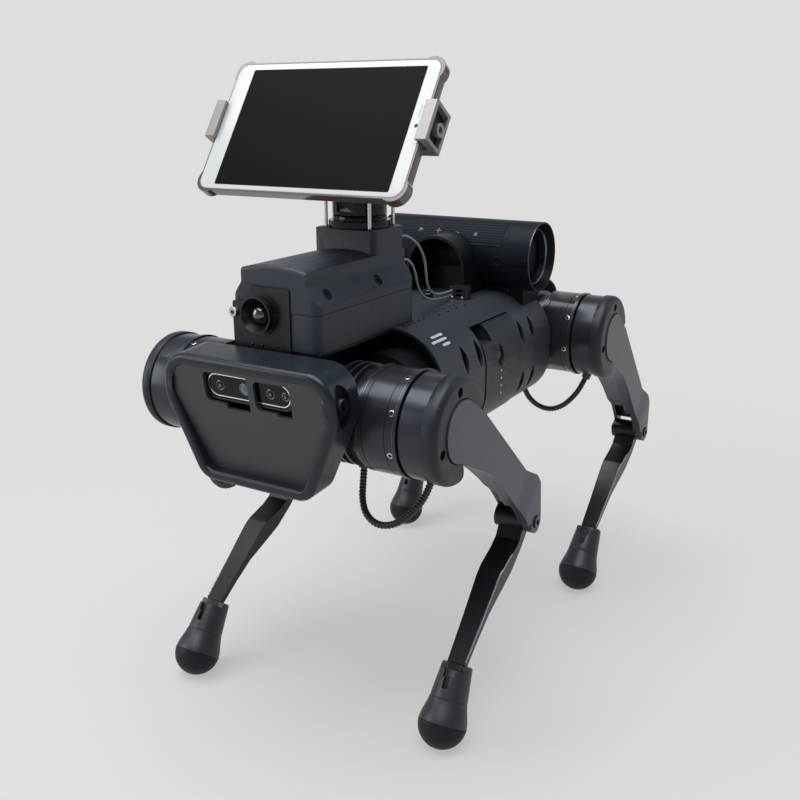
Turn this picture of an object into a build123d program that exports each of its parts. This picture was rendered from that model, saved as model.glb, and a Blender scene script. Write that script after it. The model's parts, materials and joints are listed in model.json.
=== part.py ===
"""A four-legged walking robot that carries a sensor payload, a loudspeaker and a tablet.

Every sub-part is written to parts/NAME.step in one shared frame: millimetres, +X forward, +Y to the
robot's left, +Z up, with the origin on the floor under the middle of the whole machine.
"""

from build123d import *

import os
from math import acos, asin, atan2, cos, degrees, pi, radians, sin, tan

os.makedirs("parts", exist_ok=True)

# ---- driving dimensions -------------------------------------------------------------------------
BODY_X = 45.8  # the hips' midpoint stands this far ahead of the origin, which centres the bounds

# legs
HIP_X = 178.5  # hip pitch axes ahead of and behind the hips' midpoint
HIP_Z = 297.1
ABDUCTION_Y = 47.0  # roll axes run along X at this distance from the middle
LEG_Y = 131.3  # middle plane of each leg
THIGH = 200.0  # hip axis to knee axis
CALF = 200.0  # knee axis to the middle of the foot
FOOT_R = 21.7
THIGH_ANGLES = {"front_left": 48.0, "front_right": 43.1, "rear_left": 42.2, "rear_right": 53.2}

# hip actuator, along Y
HIP_INNER = 40.5
HIP_SPLIT = 78.6
HIP_OUTER = 115.3
HIP_CORE_R = 38.0
HIP_FIN_R = 42.3
MOTOR_R = 43.5
MOTOR_RIM_R = 44.6
SHAFT_R = 12.0
RUNNING_FIT = 0.08
FLANGE_X = 48.0  # face of the roll flange, inboard of the hip axis
FLANGE_R = 30.0
ROLL_SHAFT_R = 10.0

# knee motor and shoulder cover, along Y
KNEE_MOTOR_IN = 116.3
KNEE_MOTOR_OUT = 136.9
KNEE_MOTOR_R = 43.2
COVER_OUT = 149.4
COVER_R = 44.5
COVER_BORE = 25.8
COVER_BOLT_R = 32.6
COVER_HOLE_R = 4.1
COVER_BOLT_ANGLES = (31.1, 131.2)  # in the thigh's side view, from its forward direction

# thigh
THIGH_INNER = 111.6
THIGH_PLATE = 144.2
THIGH_OUTER = 150.6
KNEE_CHEEK_OUTER = 153.4
THIGH_HEAD_R = 25.4
KNEE_INNER = 114.8  # the inner cheek is thinner than the beam above it
FORK_GAP = 25.6
FORK_DEPTH = 152.0  # the knee fork opens this far down the thigh
KNEE_PIN_R = 4.0
KNEE_BOSS_R = 11.0

# calf and foot
CALF_HEAD_WIDTH = 24.4
CALF_WIDTH = 22.6
CALF_TIP_WIDTH = 16.6
CALF_BOSS_R = 11.8
BOOT_TILT = 13.0  # the foot stands this much steeper than the calf
BOOT_TOP = 52.0
BOOT_FRONT = 47.0  # the sleeve is lower in front
BOOT_SEAM = 21.0

# corrugated leg cables
CABLE_D = 6.2
GLAND_R = 4.7
GLAND_LENGTH = 12.0

# trunk
TRUNK_FRONT = 106.0
TRUNK_REAR = -131.5
TRUNK_HALF = 95.0
TRUNK_TOP = 352.0
TRUNK_BOTTOM = 236.0
TRUNK_TOP_R = 51.0
TRUNK_BOTTOM_R = 44.0
SHELL = 2.6
SEAM_Z = 292.0
SLIT_X = (60.0, 32.6, -63.0, -88.5)
SLIT_HEIGHT = 26.0
SLIT_WIDTH = 9.0
UPPER_SLIT_Z = 318.5
LOWER_SLIT_Z = 268.0

MOUNT_HOLES = [(x, y) for x in (-25.0, 35.0) for y in (-20.0, 20.0)]
MOUNT_HOLE_R = 1.7

# battery
BATTERY_FRONT = 24.5
BATTERY_REAR = -55.5
BATTERY_TOP = 339.0
BATTERY_BOTTOM = 243.6
BAY_GAP = 0.7
BUTTON_X = -4.5
BUTTON_Z = 309.5
BUTTON_R = 4.4

# roll motors inside the trunk's ends
ROLL_MOTOR_R = 37.5
ROLL_MOTOR_IN = 66.0
ROLL_MOTOR_OUT = HIP_X - FLANGE_X - 0.5

# chassis
SPINE_HALF = 7.0
NOSE_HALF = 13.0
NOSE_END = 226.0
END_PLATE = 4.0

# face mask: heights are from MASK_Z along the tilted face
MASK_Z = 290.0
MASK_X = 255.0
MASK_REAR = 223.6
MASK_TILT = 4.0
MASK_WALL = 4.5
MASK_LIP = 9.5
MASK_DEPTH = 46.0
MASK_SCREW = (-14.0, 33.0)  # in the lip's frame: behind its front, and up its face
PLATE_X = 248.9
PLATE_TILT = 9.2
PLATE_THICK = 3.0
CAMERA_LENGTH = 90.0
CAMERA_HEIGHT = 25.0
CAMERA_DEPTH = 21.0
CAMERA_HEIGHT_Z = 36.6
LENS_Y = (-28.5, -4.0, 21.5, 36.0)
LENS_R = (4.2, 5.2, 4.2, 3.6)

# payload housing
PAYLOAD_REAR = 66.2
PAYLOAD_FRONT = 215.7
PAYLOAD_HALF = 42.6
PAYLOAD_SPLIT = 382.6
CHAMFER_START = 388.6
CHAMFER_END = 403.9
DECK_HALF = 31.6
DECK_EDGE = 415.2
DECK_TOP = 419.2
TOWER_FRONT = 115.4
TOWER_TOP = 436.4
WALL = 3.0
COVER_HOLE_X = (120.0, 194.5)
EYE_Y = -12.7
EYE_Z = 379.2
EYE_R = 8.0
EYE_PANEL = (-41.0, 16.3, 349.2, 401.3)
EYE_PANEL_NOTCH = (-23.0, 388.0)
LAMP_Y = (-22.2, -11.9)
LAMP_Z = 353.6

# lidar and the stand above it
LIDAR_X = 89.8
LIDAR_BASE_R = 27.5
LIDAR_TURRET_R = 24.0
STAND_X = 19.3
STAND_Y = 22.5
STAND_R = 1.6
STAND_TOP = 466.0
STAND_PLATE = 3.5

# tablet and its clamp: the tablet's own frame has x out of the screen and z up the screen
TABLET_CENTRE = (156.8, 2.6, 522.1)
TABLET_TILT = 33.7
TABLET_W = 196.4
TABLET_H = 118.0
TABLET_T = 8.0
CASE_WALL = 1.4
BAR_BACK = -20.5
BAR_FRONT = -11.0
BAR_HALF = 76.0
CLAMP_Z = 4.4  # the clamp grips the tablet a little above its middle
JAW_HALF = 17.0
JAW_BACK = -19.5
JAW_FRONT = 4.4
JAW_LIP_IN = 97.1
JAW_WALL_IN = TABLET_W / 2 + 2.2
JAW_WALL_OUT = JAW_WALL_IN + 7.2
JAW_BOSS_X = -11.0
HINGE = (112.0, 484.0)
HINGE_R = 9.0
TONGUE_HALF = 6.0
HINGE_BOLT_R = 2.6

# loudspeaker and what stands round it
SPEAKER_X = -115.0
SPEAKER_Z = 387.8
SPEAKER_R = 35.5
SPEAKER_HALF = 89.0
SPEAKER_MOUTH_R = 27.0
ARCH_Y = -1.0
ARCH_Z = 378.0
ARCH_R = 33.5
ARCH_FRONT = -50.0
ARCH_WALL = 3.2
WIRE_D = 2.2
HUB = ((-47, -35), (24, 43), (TRUNK_TOP, 364.5))
SOCKET_Z = (356.2, 360.6)
WIRES = [
    [(PAYLOAD_REAR, 18, 421), (58, 19.5, 424), (49, 22, 424.6), (41, 25.5, 420.5), (34, 28.5, 413.5),
     (28.5, 30, 404.5), (25.5, 30.5, 394.5), (24, 30.5, 384.5), (21, 30, 375.5), (14.5, 29.5, 368.5),
     (5, 29, 364), (-5, 28.5, 361.9), (-15, 27.9, 361), (-25, 27.3, 360.7), (HUB[0][1], 27, SOCKET_Z[1])],
    [(PAYLOAD_REAR, 27, 404), (60, 27.8, 405), (54.2, 29.2, 403.2), (50, 30.8, 398.2), (47.6, 32, 391.5),
     (46, 32.6, 384.3), (43, 32.6, 377), (37.5, 32.2, 370.5), (29.5, 31.6, 365.4), (19.5, 31, 361.6),
     (7.5, 30.2, 359), (-3, 29.3, 357.5), (-13.5, 28.2, 356.6), (-24.3, 27.4, 356.3),
     (HUB[0][1], 27, SOCKET_Z[0])],
]  # fmt: skip


# ---- helpers ------------------------------------------------------------------------------------
def save(name, *solids):
    """Write one sub-part, moved from the hips' midpoint to the machine's origin."""
    group = Compound(children=[Pos(BODY_X, 0, 0) * solid for part in solids for solid in part.solids()])
    export_step(group, f"parts/{name}.step")


def prism(sketch, height):
    return extrude(sketch, amount=height, dir=(0, 0, 1))


def side_slab(sketch, y_low, y_high):
    """A sketch drawn in X and Z, made solid between two widths."""
    return Pos(0, y_high, 0) * Rot(90, 0, 0) * prism(sketch, y_high - y_low)


def cross_slab(sketch, x_low, x_high):
    """A sketch drawn in Y and Z, made solid between two lengths."""
    return Pos(x_low, 0, 0) * Plane.YZ.location * prism(sketch, x_high - x_low)


def block(x_range, y_range, z_range):
    low = [min(r) for r in (x_range, y_range, z_range)]
    high = [max(r) for r in (x_range, y_range, z_range)]
    size = [b - a for a, b in zip(low, high)]
    centre = [(a + b) / 2 for a, b in zip(low, high)]
    return Pos(*centre) * Box(*size)


def rod_x(radius, x_low, x_high, y=0.0, z=0.0):
    return Pos((x_low + x_high) / 2, y, z) * Rot(0, 90, 0) * Cylinder(radius, abs(x_high - x_low))


def rod_y(radius, y_low, y_high, x=0.0, z=0.0):
    return Pos(x, (y_low + y_high) / 2, z) * Rot(90, 0, 0) * Cylinder(radius, abs(y_high - y_low))


def rod_z(radius, z_low, z_high, x=0.0, y=0.0):
    return Pos(x, y, (z_low + z_high) / 2) * Cylinder(radius, abs(z_high - z_low))


def mirror_y(part):
    return mirror(part, about=Plane.XZ)


def mirror_x(part):
    return mirror(part, about=Plane.YZ)


def rounded_polygon(points, radii):
    """A closed outline whose corners have their own radii, in the order of the points."""
    sketch = Polygon(*points, align=None)
    for point, radius in zip(points, radii):
        corner = sketch.vertices().sort_by_distance((*point, 0))[0]
        sketch = fillet(corner, radius)
    return sketch


def leaf(width, height):
    """A pointed oval, standing up."""
    left = ThreePointArc((0, height / 2), (-width / 2, 0), (0, -height / 2))
    right = ThreePointArc((0, -height / 2), (width / 2, 0), (0, height / 2))
    return make_face([left, right])


def bend_radii(points):
    """Arcs as large as the two runs at each corner allow."""
    radii = []
    for before, here, after in zip(points, points[1:], points[2:]):
        first = Vector(*here) - Vector(*before)
        second = Vector(*after) - Vector(*here)
        turn = radians(first.get_angle(second))
        radii.append(0.45 * min(first.length, second.length) / tan(turn / 2))
    return radii


def tube(name, points, diameter):
    radii = bend_radii(points)
    path = FilletPolyline(*points, radius=radii)
    start = Plane(origin=path @ 0, z_dir=path % 0)
    solid = sweep(start * Circle(diameter / 2), path=path)
    expected = pi * diameter**2 / 4 * path.length
    print(name, "length", round(path.length, 1), "radii", [round(r, 1) for r in radii])
    print(name, "volume against section x length", round(solid.volume / expected, 4))
    return solid


def gland(point, along, length=GLAND_LENGTH):
    """A cable gland whose face is at the cable's end and whose body goes back from it."""
    plane = Plane(origin=point, z_dir=along)
    return plane.location * Pos(0, 0, -length / 2) * Cylinder(GLAND_R, length)


# ---- legs: drawn for the left side, with the hip axis at X = Z = 0 -------------------------------
# Each route starts under the hip link and ends under the knee motor.
FRONT_CABLE = [
    (2, 60, -46), (4, 60, -59), (9, 62, -72), (15, 69.5, -82.5), (17, 82, -88), (14.5, 95, -86),
    (10, 106, -78), (5, 114.5, -67.5), (1.5, 120, -56), (0, 122.5, -47),
]  # fmt: skip
REAR_CABLE = [
    (34, 60, -36), (35, 60, -49), (33, 61.5, -62), (27.5, 66, -74.5), (21.5, 75, -84), (17.5, 87.5, -87),
    (15, 100, -82), (12, 110, -72), (8, 117.5, -60.5), (5, 122, -48),
]  # fmt: skip


def cable_ends(route):
    first, last = Vector(*route[1]) - Vector(*route[0]), Vector(*route[-1]) - Vector(*route[-2])
    return gland(route[0], first), gland(route[-1], last * -1)


def hip_actuator(fore, route):
    """The link that rolls, with its finned gearbox, and the smooth hip motor bolted to it."""
    link = rod_y(HIP_CORE_R, HIP_INNER, HIP_SPLIT)
    for start in (49.0, 56.5, 64.0):
        link += rod_y(HIP_FIN_R, start, start + 2.6)
    link += rod_y(HIP_FIN_R - 1.5, HIP_SPLIT - 4.5, HIP_SPLIT)
    bracket = block((-46, -30), (22, 76), (-21, 21))
    bracket += rod_x(FLANGE_R, -FLANGE_X, -FLANGE_X + 4.5, ABDUCTION_Y, 0)
    bracket += rod_x(ROLL_SHAFT_R, -FLANGE_X - 7, -FLANGE_X, ABDUCTION_Y, 0)
    link += bracket if fore > 0 else mirror_x(bracket)
    link += cable_ends(route)[0]
    motor = rod_y(MOTOR_R, HIP_SPLIT, HIP_OUTER)
    motor += rod_y(MOTOR_RIM_R, HIP_OUTER - 3.6, HIP_OUTER)
    motor -= rod_y(SHAFT_R + RUNNING_FIT, HIP_OUTER - 9, HIP_OUTER)
    return link, motor


def knee_motor(route):
    motor = rod_y(KNEE_MOTOR_R, KNEE_MOTOR_IN, KNEE_MOTOR_OUT)
    motor = fillet(motor.edges().filter_by(GeomType.CIRCLE).group_by(Axis.Y)[0], 1.5)
    motor += rod_y(SHAFT_R, HIP_OUTER - 8, KNEE_MOTOR_IN + 1)
    return motor + cable_ends(route)[1]


def cover_bolt_places():
    for angle in COVER_BOLT_ANGLES:
        yield COVER_BOLT_R * cos(radians(angle)), COVER_BOLT_R * sin(radians(angle))


def shoulder_cover():
    """A thick ring, rounded outside and open where the thigh leaves it."""
    thick = COVER_OUT - KNEE_MOTOR_OUT
    profile = rounded_polygon(
        [(COVER_BORE, 0), (COVER_R, 0), (COVER_R, thick), (COVER_BORE, thick)], (0.2, 0.2, 6.5, 1.0)
    )
    ring = Pos(0, KNEE_MOTOR_OUT, 0) * revolve(profile, axis=Axis.Y)
    middle = (COVER_R + COVER_BORE) / 2
    half = (COVER_R - COVER_BORE) / 2 + 1
    tip = degrees(asin(half / middle))
    arc = CenterArc((0, 0), middle, -49 + tip, 260 - 2 * tip)
    ring &= side_slab(SlotArc(arc, 2 * half), KNEE_MOTOR_OUT - 1, COVER_OUT + 1)
    for x, z in cover_bolt_places():
        ring -= rod_y(COVER_HOLE_R, COVER_OUT - 7.5, COVER_OUT + 1, x, z)
    return ring


def leg_bolts():
    """Two cover bolts and the knee's pivot bolt."""
    bolts = []
    seat = COVER_OUT - 7.5
    for x, z in cover_bolt_places():
        head = rod_y(3.3, seat, seat + 3, x, z)
        bolts.append(head - rod_y(1.5, seat + 1.5, seat + 4, x, z))
    pivot = rod_y(KNEE_PIN_R, KNEE_INNER - 1.2, KNEE_CHEEK_OUTER + 0.5, 0, -THIGH)
    pivot += rod_y(6.2, KNEE_CHEEK_OUTER, KNEE_CHEEK_OUTER + 1.6, 0, -THIGH)
    pivot += rod_y(5.6, KNEE_INNER - 2.4, KNEE_INNER, 0, -THIGH)
    pivot -= rod_y(2.4, KNEE_CHEEK_OUTER - 1.5, KNEE_CHEEK_OUTER + 2, 0, -THIGH)
    return bolts + [pivot]


def thigh_outline(front_edge):
    """The thigh's side view, from the hip down to the knee, with its own front edge."""
    back = [(-24.5, 6), (-29.4, -24), (-29.4, -145), (-35.2, -168), (-33, -181), (-8.7, -207)]
    front = Spline(*front_edge)
    outline = make_face([Polyline(front_edge[-1], *reversed(back), front_edge[0]), front])
    return outline + Pos(0, -THIGH) * Circle(KNEE_BOSS_R)


def thigh_link():
    """An outer plate and a narrower inner beam, forked at the knee."""
    outer_edge = [(20, -16), (12.9, -43.6), (6, -68), (3.8, -95), (4.2, -124), (5.2, -151), (10, -184)]
    inner_edge = [(8, -50), (0, -75), (-6, -100), (-9, -125), (-10, -150), (-9, -170), (-6, -192)]
    plate = side_slab(thigh_outline(outer_edge), THIGH_PLATE - 6, THIGH_OUTER)
    plate += rod_y(THIGH_HEAD_R, KNEE_MOTOR_OUT, THIGH_OUTER)
    beam = side_slab(thigh_outline(inner_edge), THIGH_INNER, THIGH_PLATE)
    beam -= rod_y(MOTOR_RIM_R + 0.9, THIGH_INNER - 1, KNEE_MOTOR_OUT)
    plate -= rod_y(COVER_R + 0.3, THIGH_PLATE - 7, KNEE_MOTOR_OUT)
    link = plate + beam
    # the knee end of the outer plate steps outward over a sloping facet
    step = Polygon(
        (THIGH_OUTER - 2, -150), (THIGH_OUTER, -150), (KNEE_CHEEK_OUTER, -172),
        (KNEE_CHEEK_OUTER, -215), (THIGH_OUTER - 2, -215), align=None,
    )  # fmt: skip
    step_solid = cross_slab(step, -40, 20)
    outline = side_slab(thigh_outline(outer_edge), THIGH_OUTER - 3, KNEE_CHEEK_OUTER + 1)
    link += step_solid & outline
    # fork between the cheeks, closed behind by the elbow's wall
    gap = side_slab(
        Polygon((-12.5, -166), (-6, -FORK_DEPTH), (40, -FORK_DEPTH), (40, -230), (-13.4, -230),
                (-13.4, -196), align=None),
        LEG_Y - FORK_GAP / 2, LEG_Y + FORK_GAP / 2,
    )  # fmt: skip
    gap += rod_y(CALF_BOSS_R + 1.2, LEG_Y - FORK_GAP / 2, LEG_Y + FORK_GAP / 2, 0, -THIGH)
    gap += block((-60, -5), (LEG_Y - FORK_GAP / 2, LEG_Y + FORK_GAP / 2), (-193, -230))
    link -= gap
    relief = Polygon(
        (THIGH_INNER - 5, -FORK_DEPTH + 2), (THIGH_INNER, -FORK_DEPTH + 2), (KNEE_INNER, -FORK_DEPTH - 8),
        (KNEE_INNER, -230), (THIGH_INNER - 5, -230), align=None,
    )  # fmt: skip
    link -= cross_slab(relief, -60, 60)
    link -= rod_y(KNEE_PIN_R, THIGH_INNER - 5, KNEE_CHEEK_OUTER + 5, 0, -THIGH)
    # hollow behind the plate, between the beam's walls
    pocket = rounded_polygon(
        [(-25, -60), (-14, -60), (-16, -140), (-25, -140)], (4, 4, 4, 4)
    )
    link -= side_slab(pocket, THIGH_INNER - 1, THIGH_PLATE - 2)
    for x, z in cover_bolt_places():
        link -= rod_y(COVER_HOLE_R + 0.1, COVER_OUT - 8, COVER_OUT + 5, x, z)
    ring = side_slab(Circle(COVER_R + 0.4) - Circle(THIGH_HEAD_R), KNEE_MOTOR_OUT - 8, COVER_OUT + 0.1)
    sector = side_slab(
        Polygon((0, 0), (-140, 48), (-140, 140), (140, 140), (140, -161), align=None), 100, 160
    )
    return link - (ring & sector) - shoulder_cover()


def calf_link():
    """A slim blade, widest a quarter of the way down, with its foot end bent forward."""
    front = [(-1, -22), (2, -34), (12, -56), (14, -68), (14.6, -110), (16.4, -150)]
    back = [(10, -150), (8.6, -125), (5.4, -97), (-2.2, -72), (-8.5, -50), (-10.6, -22)]
    neck = [(-10.6, -4), (4, -4)]
    sketch = Polygon(*neck, *front, *back, align=None)
    sketch = fillet(sketch.vertices().sort_by_distance((12, -56, 0))[0], 9)
    head = CALF_HEAD_WIDTH / 2
    blade = side_slab(sketch, LEG_Y - head, LEG_Y + head)
    # the width tapers evenly from below the knee to the foot
    edge, tip = CALF_WIDTH / 2, CALF_TIP_WIDTH / 2
    taper = Polygon(
        (LEG_Y - head, 20), (LEG_Y + head, 20), (LEG_Y + head, -26), (LEG_Y + edge, -56), (LEG_Y + tip, -160),
        (LEG_Y - tip, -160), (LEG_Y - edge, -56), (LEG_Y - head, -26), align=None,
    )  # fmt: skip
    blade &= cross_slab(taper, -40, 60)
    tongue = block((10.4, 15.6), (LEG_Y - 6.5, LEG_Y + 6.5), (-148, -158))
    # hollow back
    hollow = Polygon((-12, -34), (-4, -34), (4.5, -60), (7.5, -84), (-12, -84), align=None)
    blade -= side_slab(hollow, LEG_Y - 7.6, LEG_Y + 7.6)
    blade = fillet(blade.edges().filter_by(Axis.Y).group_by(Axis.X)[-1], 1.5)
    blade += tongue
    blade += rod_y(CALF_BOSS_R, LEG_Y - head, LEG_Y + head)
    return blade - rod_y(KNEE_PIN_R + RUNNING_FIT, 90, 170)


def foot_frame():
    return Pos(0, LEG_Y, -CALF) * Rot(0, BOOT_TILT, 0)


def foot_boot():
    """A sock-shaped sleeve over the calf's end, with a slot in front and a seam round it."""
    profile = make_face(
        [
            Polyline((0, -1), (FOOT_R - 0.1, -1), (FOOT_R - 0.1, 1.5)),
            Spline((FOOT_R - 0.1, 1.5), (FOOT_R - 1.3, 8), (FOOT_R - 3.3, 15), (17.2, BOOT_SEAM)),
            Polyline(
                (17.2, BOOT_SEAM), (16.5, BOOT_SEAM), (16.5, BOOT_SEAM + 0.9),
                (17, BOOT_SEAM + 0.9), (13.9, BOOT_TOP - 1), (13.1, BOOT_TOP), (0, BOOT_TOP), (0, -1),
            ),
        ]
    )  # fmt: skip
    boot = revolve(Plane.XZ * profile, axis=Axis.Z)
    boot -= block((4, 20), (-20, 20), (BOOT_FRONT, BOOT_TOP + 1))
    boot -= block((10, 20), (-5, 5), (BOOT_FRONT - 7, BOOT_TOP + 1))
    boot -= block((11, 20), (-2.6, 2.6), (BOOT_FRONT - 17, BOOT_TOP + 1))
    return (foot_frame() * boot) - calf_link()


def foot_pad():
    ball = Sphere(FOOT_R) - block((-40, 40), (-40, 40), (-1, 40))
    return foot_frame() * ball


def leg(name, fore, left):
    thigh_angle = THIGH_ANGLES[name]
    calf_angle = degrees(acos((HIP_Z - FOOT_R) / CALF - THIGH / CALF * cos(radians(thigh_angle))))
    hip = Pos(fore * HIP_X, 0, HIP_Z)
    knee = hip * Rot(0, thigh_angle, 0) * Pos(0, 0, -THIGH) * Rot(0, -thigh_angle - calf_angle, 0)
    route = FRONT_CABLE if fore > 0 else REAR_CABLE
    print(name, "thigh", thigh_angle, "calf", round(calf_angle, 3))
    swing = hip * Rot(0, thigh_angle, 0)
    pieces = {
        "hip_actuator": [hip * part for part in hip_actuator(fore, route)],
        "knee_motor": [hip * knee_motor(route)],
        "shoulder_cover": [swing * shoulder_cover()],
        "thigh_link": [swing * thigh_link()],
        "leg_bolts": [swing * bolt for bolt in leg_bolts()],
        "calf_link": [knee * calf_link()],
        "foot_boot": [knee * foot_boot()],
        "foot_pad": [knee * foot_pad()],
        "leg_cable": [hip * tube(name, route, CABLE_D)],
    }
    for piece, solids in pieces.items():
        save(f"{name}_{piece}", *(solids if left else [mirror_y(solid) for solid in solids]))


# ---- trunk --------------------------------------------------------------------------------------
def trunk_section(inset=0.0):
    """Flat above and below, with wide rounded shoulders."""
    half, top, bottom = TRUNK_HALF - inset, TRUNK_TOP - inset, TRUNK_BOTTOM + inset
    corners = [(half, bottom), (half, top), (-half, top), (-half, bottom)]
    low, high = TRUNK_BOTTOM_R - inset, TRUNK_TOP_R - inset
    return rounded_polygon(corners, (low, high, high, low))


def vent_slits():
    """Pointed vertical vents through both sides."""
    cutters = []
    for x in SLIT_X:
        for z in (UPPER_SLIT_Z, LOWER_SLIT_Z):
            cutters.append(Pos(x, 110, z) * Rot(90, 0, 0) * prism(leaf(SLIT_WIDTH, SLIT_HEIGHT), 220))
    return cutters


def top_slots():
    """Two rows of small slots beside the payload and a pattern of small holes behind it."""
    cutters = []
    for side in (-1, 1):
        for step in range(5):
            cutters.append(block((98 - 9 * step, 93 - 9 * step), (side * 46.6, side * 48.4), (345, 355)))
        for step in range(4):
            slot = block((38 - 17 * step, 33 - 17 * step), (side * 50, side * 52), (345, 355))
            cutters.append(slot)
            cutters.append(rod_z(1.4, 345, 355, 27 - 17 * step, side * 43))
    for x, y in MOUNT_HOLES:
        cutters.append(rod_z(MOUNT_HOLE_R, 345, 355, x, y))
    return cutters


def trunk_shells():
    tube_solid = cross_slab(trunk_section(), TRUNK_REAR, TRUNK_FRONT)
    tube_solid -= cross_slab(trunk_section(SHELL), TRUNK_REAR - 1, TRUNK_FRONT + 1)
    bay_x = (BATTERY_REAR - BAY_GAP, BATTERY_FRONT + BAY_GAP)
    tube_solid -= block(bay_x, (20, 120), (BATTERY_BOTTOM - BAY_GAP, BATTERY_TOP + 2 * BAY_GAP))
    tube_solid -= vent_slits() + top_slots()
    upper = tube_solid - block((-200, 200), (-120, 120), (SEAM_Z, 100))
    lower = tube_solid - block((-200, 200), (-120, 120), (SEAM_Z, 500))
    return upper, lower


def battery():
    """A slab pack whose outer face closes the side of the trunk."""
    x_range = (BATTERY_REAR, BATTERY_FRONT)
    z_range = (BATTERY_BOTTOM, BATTERY_TOP)
    skin = cross_slab(trunk_section(-0.9) - trunk_section(SHELL), *x_range)
    skin &= block(x_range, (30, 120), z_range)
    cells = cross_slab(trunk_section(SHELL + 0.4), BATTERY_REAR + 2, BATTERY_FRONT - 2)
    cells &= block((-200, 200), (18, 92.4), (BATTERY_BOTTOM + 6, BATTERY_TOP - 4))
    pack = skin + cells
    pack += block((BATTERY_REAR + 6, BATTERY_FRONT - 6), (86, 93.2), (272, 310))
    pack -= block((3, BATTERY_FRONT + 1), (60, 120), (324.5, BATTERY_TOP + 1))
    recess = Pos(BUTTON_X - 2.8, 110, BUTTON_Z) * Rot(90, 0, 0) * prism(leaf(13.5, 26), 18)
    pack -= recess
    pack -= rod_y(BUTTON_R + 0.25, 84, 110, BUTTON_X, BUTTON_Z)
    return pack


def power_button():
    return rod_y(BUTTON_R, 85.6, 94.2, BUTTON_X, BUTTON_Z)


def roll_motors():
    motors = []
    for fore in (-1, 1):
        for side in (-1, 1):
            y = side * ABDUCTION_Y
            low, high = sorted((fore * ROLL_MOTOR_IN, fore * ROLL_MOTOR_OUT))
            motor = rod_x(ROLL_MOTOR_R, low, high, y, HIP_Z)
            socket = sorted((fore * (ROLL_MOTOR_OUT - 8), fore * (ROLL_MOTOR_OUT + 1)))
            motors.append(motor - rod_x(ROLL_SHAFT_R + RUNNING_FIT, *socket, y, HIP_Z))
    return motors


def end_outline(half, low, high):
    return rounded_polygon(
        [(half, low), (half, high), (-half, high), (-half, low)], (18, 18, 18, 18)
    )


def chassis():
    """A spine, two bulkheads that hold the roll motors, a nose and a tail."""
    frame = block((TRUNK_REAR, TRUNK_FRONT), (-SPINE_HALF, SPINE_HALF), (TRUNK_BOTTOM + SHELL, 346))
    for low, high in ((92, 97), (-122, -117)):
        bulkhead = cross_slab(trunk_section(SHELL), low, high)
        frame += bulkhead
    frame += block((TRUNK_FRONT - 10, MASK_REAR - 3), (-NOSE_HALF, NOSE_HALF), (258, 348.6))
    frame += block((MASK_REAR - 4, NOSE_END), (-NOSE_HALF, NOSE_HALF), (258, 342))
    frame += block((-NOSE_END, TRUNK_REAR + 14), (-NOSE_HALF, NOSE_HALF), (258, 345))
    frame += block((TRUNK_FRONT + 0.6, PAYLOAD_FRONT - 2.2), (-42, 42), (348.6, TRUNK_TOP))
    frame += cross_slab(end_outline(42, 254, 337), NOSE_END - END_PLATE, NOSE_END)
    frame += cross_slab(end_outline(62, 250, 346), -NOSE_END - END_PLATE, -NOSE_END)
    for motor in roll_motors():
        centre = motor.bounding_box().center()
        frame -= rod_x(ROLL_MOTOR_R, centre.X - 40, centre.X + 40, centre.Y, HIP_Z)
    for x in (-60, -20, 20, 60):
        frame -= rod_y(16, -40, 40, x, 296)
    return frame


# ---- face ---------------------------------------------------------------------------------------
def tilted(x, tilt):
    """A frame on the face: local X leaves it, local Y is across and local Z runs up it."""
    return Pos(x, 0, MASK_Z) * Rot(0, tilt, 0)


def mask_outline(inset=0.0):
    points = [(-80, 60), (80, 60), (86, 24), (54.5, -48), (-54.5, -48), (-86, 24)]
    sketch = rounded_polygon(points, (24, 24, 30, 18, 18, 30))
    return offset(sketch, -inset) if inset else sketch


def mask_rim():
    """A deep cup with a thick rounded lip and a screw recess in each side."""
    frame = tilted(MASK_X, MASK_TILT)
    cup = Pos(-MASK_DEPTH, 0, 0) * Plane.YZ.location * prism(mask_outline(), MASK_DEPTH)
    bore = Pos(-MASK_DEPTH - 1, 0, 0) * Plane.YZ.location * prism(mask_outline(MASK_WALL), MASK_DEPTH - 11)
    mouth = Pos(-20, 0, 0) * Plane.YZ.location * prism(mask_outline(MASK_LIP), 30)
    cup = fillet(cup.edges().group_by(Axis.X)[-1], 4.2)
    rim = cup - bore - mouth
    rim = fillet(rim.edges().group_by(Axis.X)[-1], 3.2)
    back, up = MASK_SCREW
    for side in (-1, 1):
        recess = Pos(back, side * 88.5, up) * Rot(90, 0, 0) * extrude(Ellipse(9.5, 17), amount=10, both=True)
        rim -= recess
        pad = Pos(back, side * 73.5, up) * Rot(90, 0, 0) * Cylinder(15, 10)
        pad &= Pos(-MASK_DEPTH, 0, 0) * Plane.YZ.location * prism(mask_outline(1), MASK_DEPTH)
        rim += pad - mouth
    rim = frame * rim
    return rim - block((0, MASK_REAR), (-120, 120), (200, 400))


def mask_screws():
    screws = []
    back, up = MASK_SCREW
    for side in (-1, 1):
        head = Pos(back, side * 81.3, up) * Rot(90, 0, 0) * (Cylinder(6.6, 5.6) - Cylinder(3.1, 8))
        head += Pos(back, side * 79.6, up) * Rot(90, 0, 0) * Cylinder(6.6, 2.2)
        screws.append(tilted(MASK_X, MASK_TILT) * head)
    return screws


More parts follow.
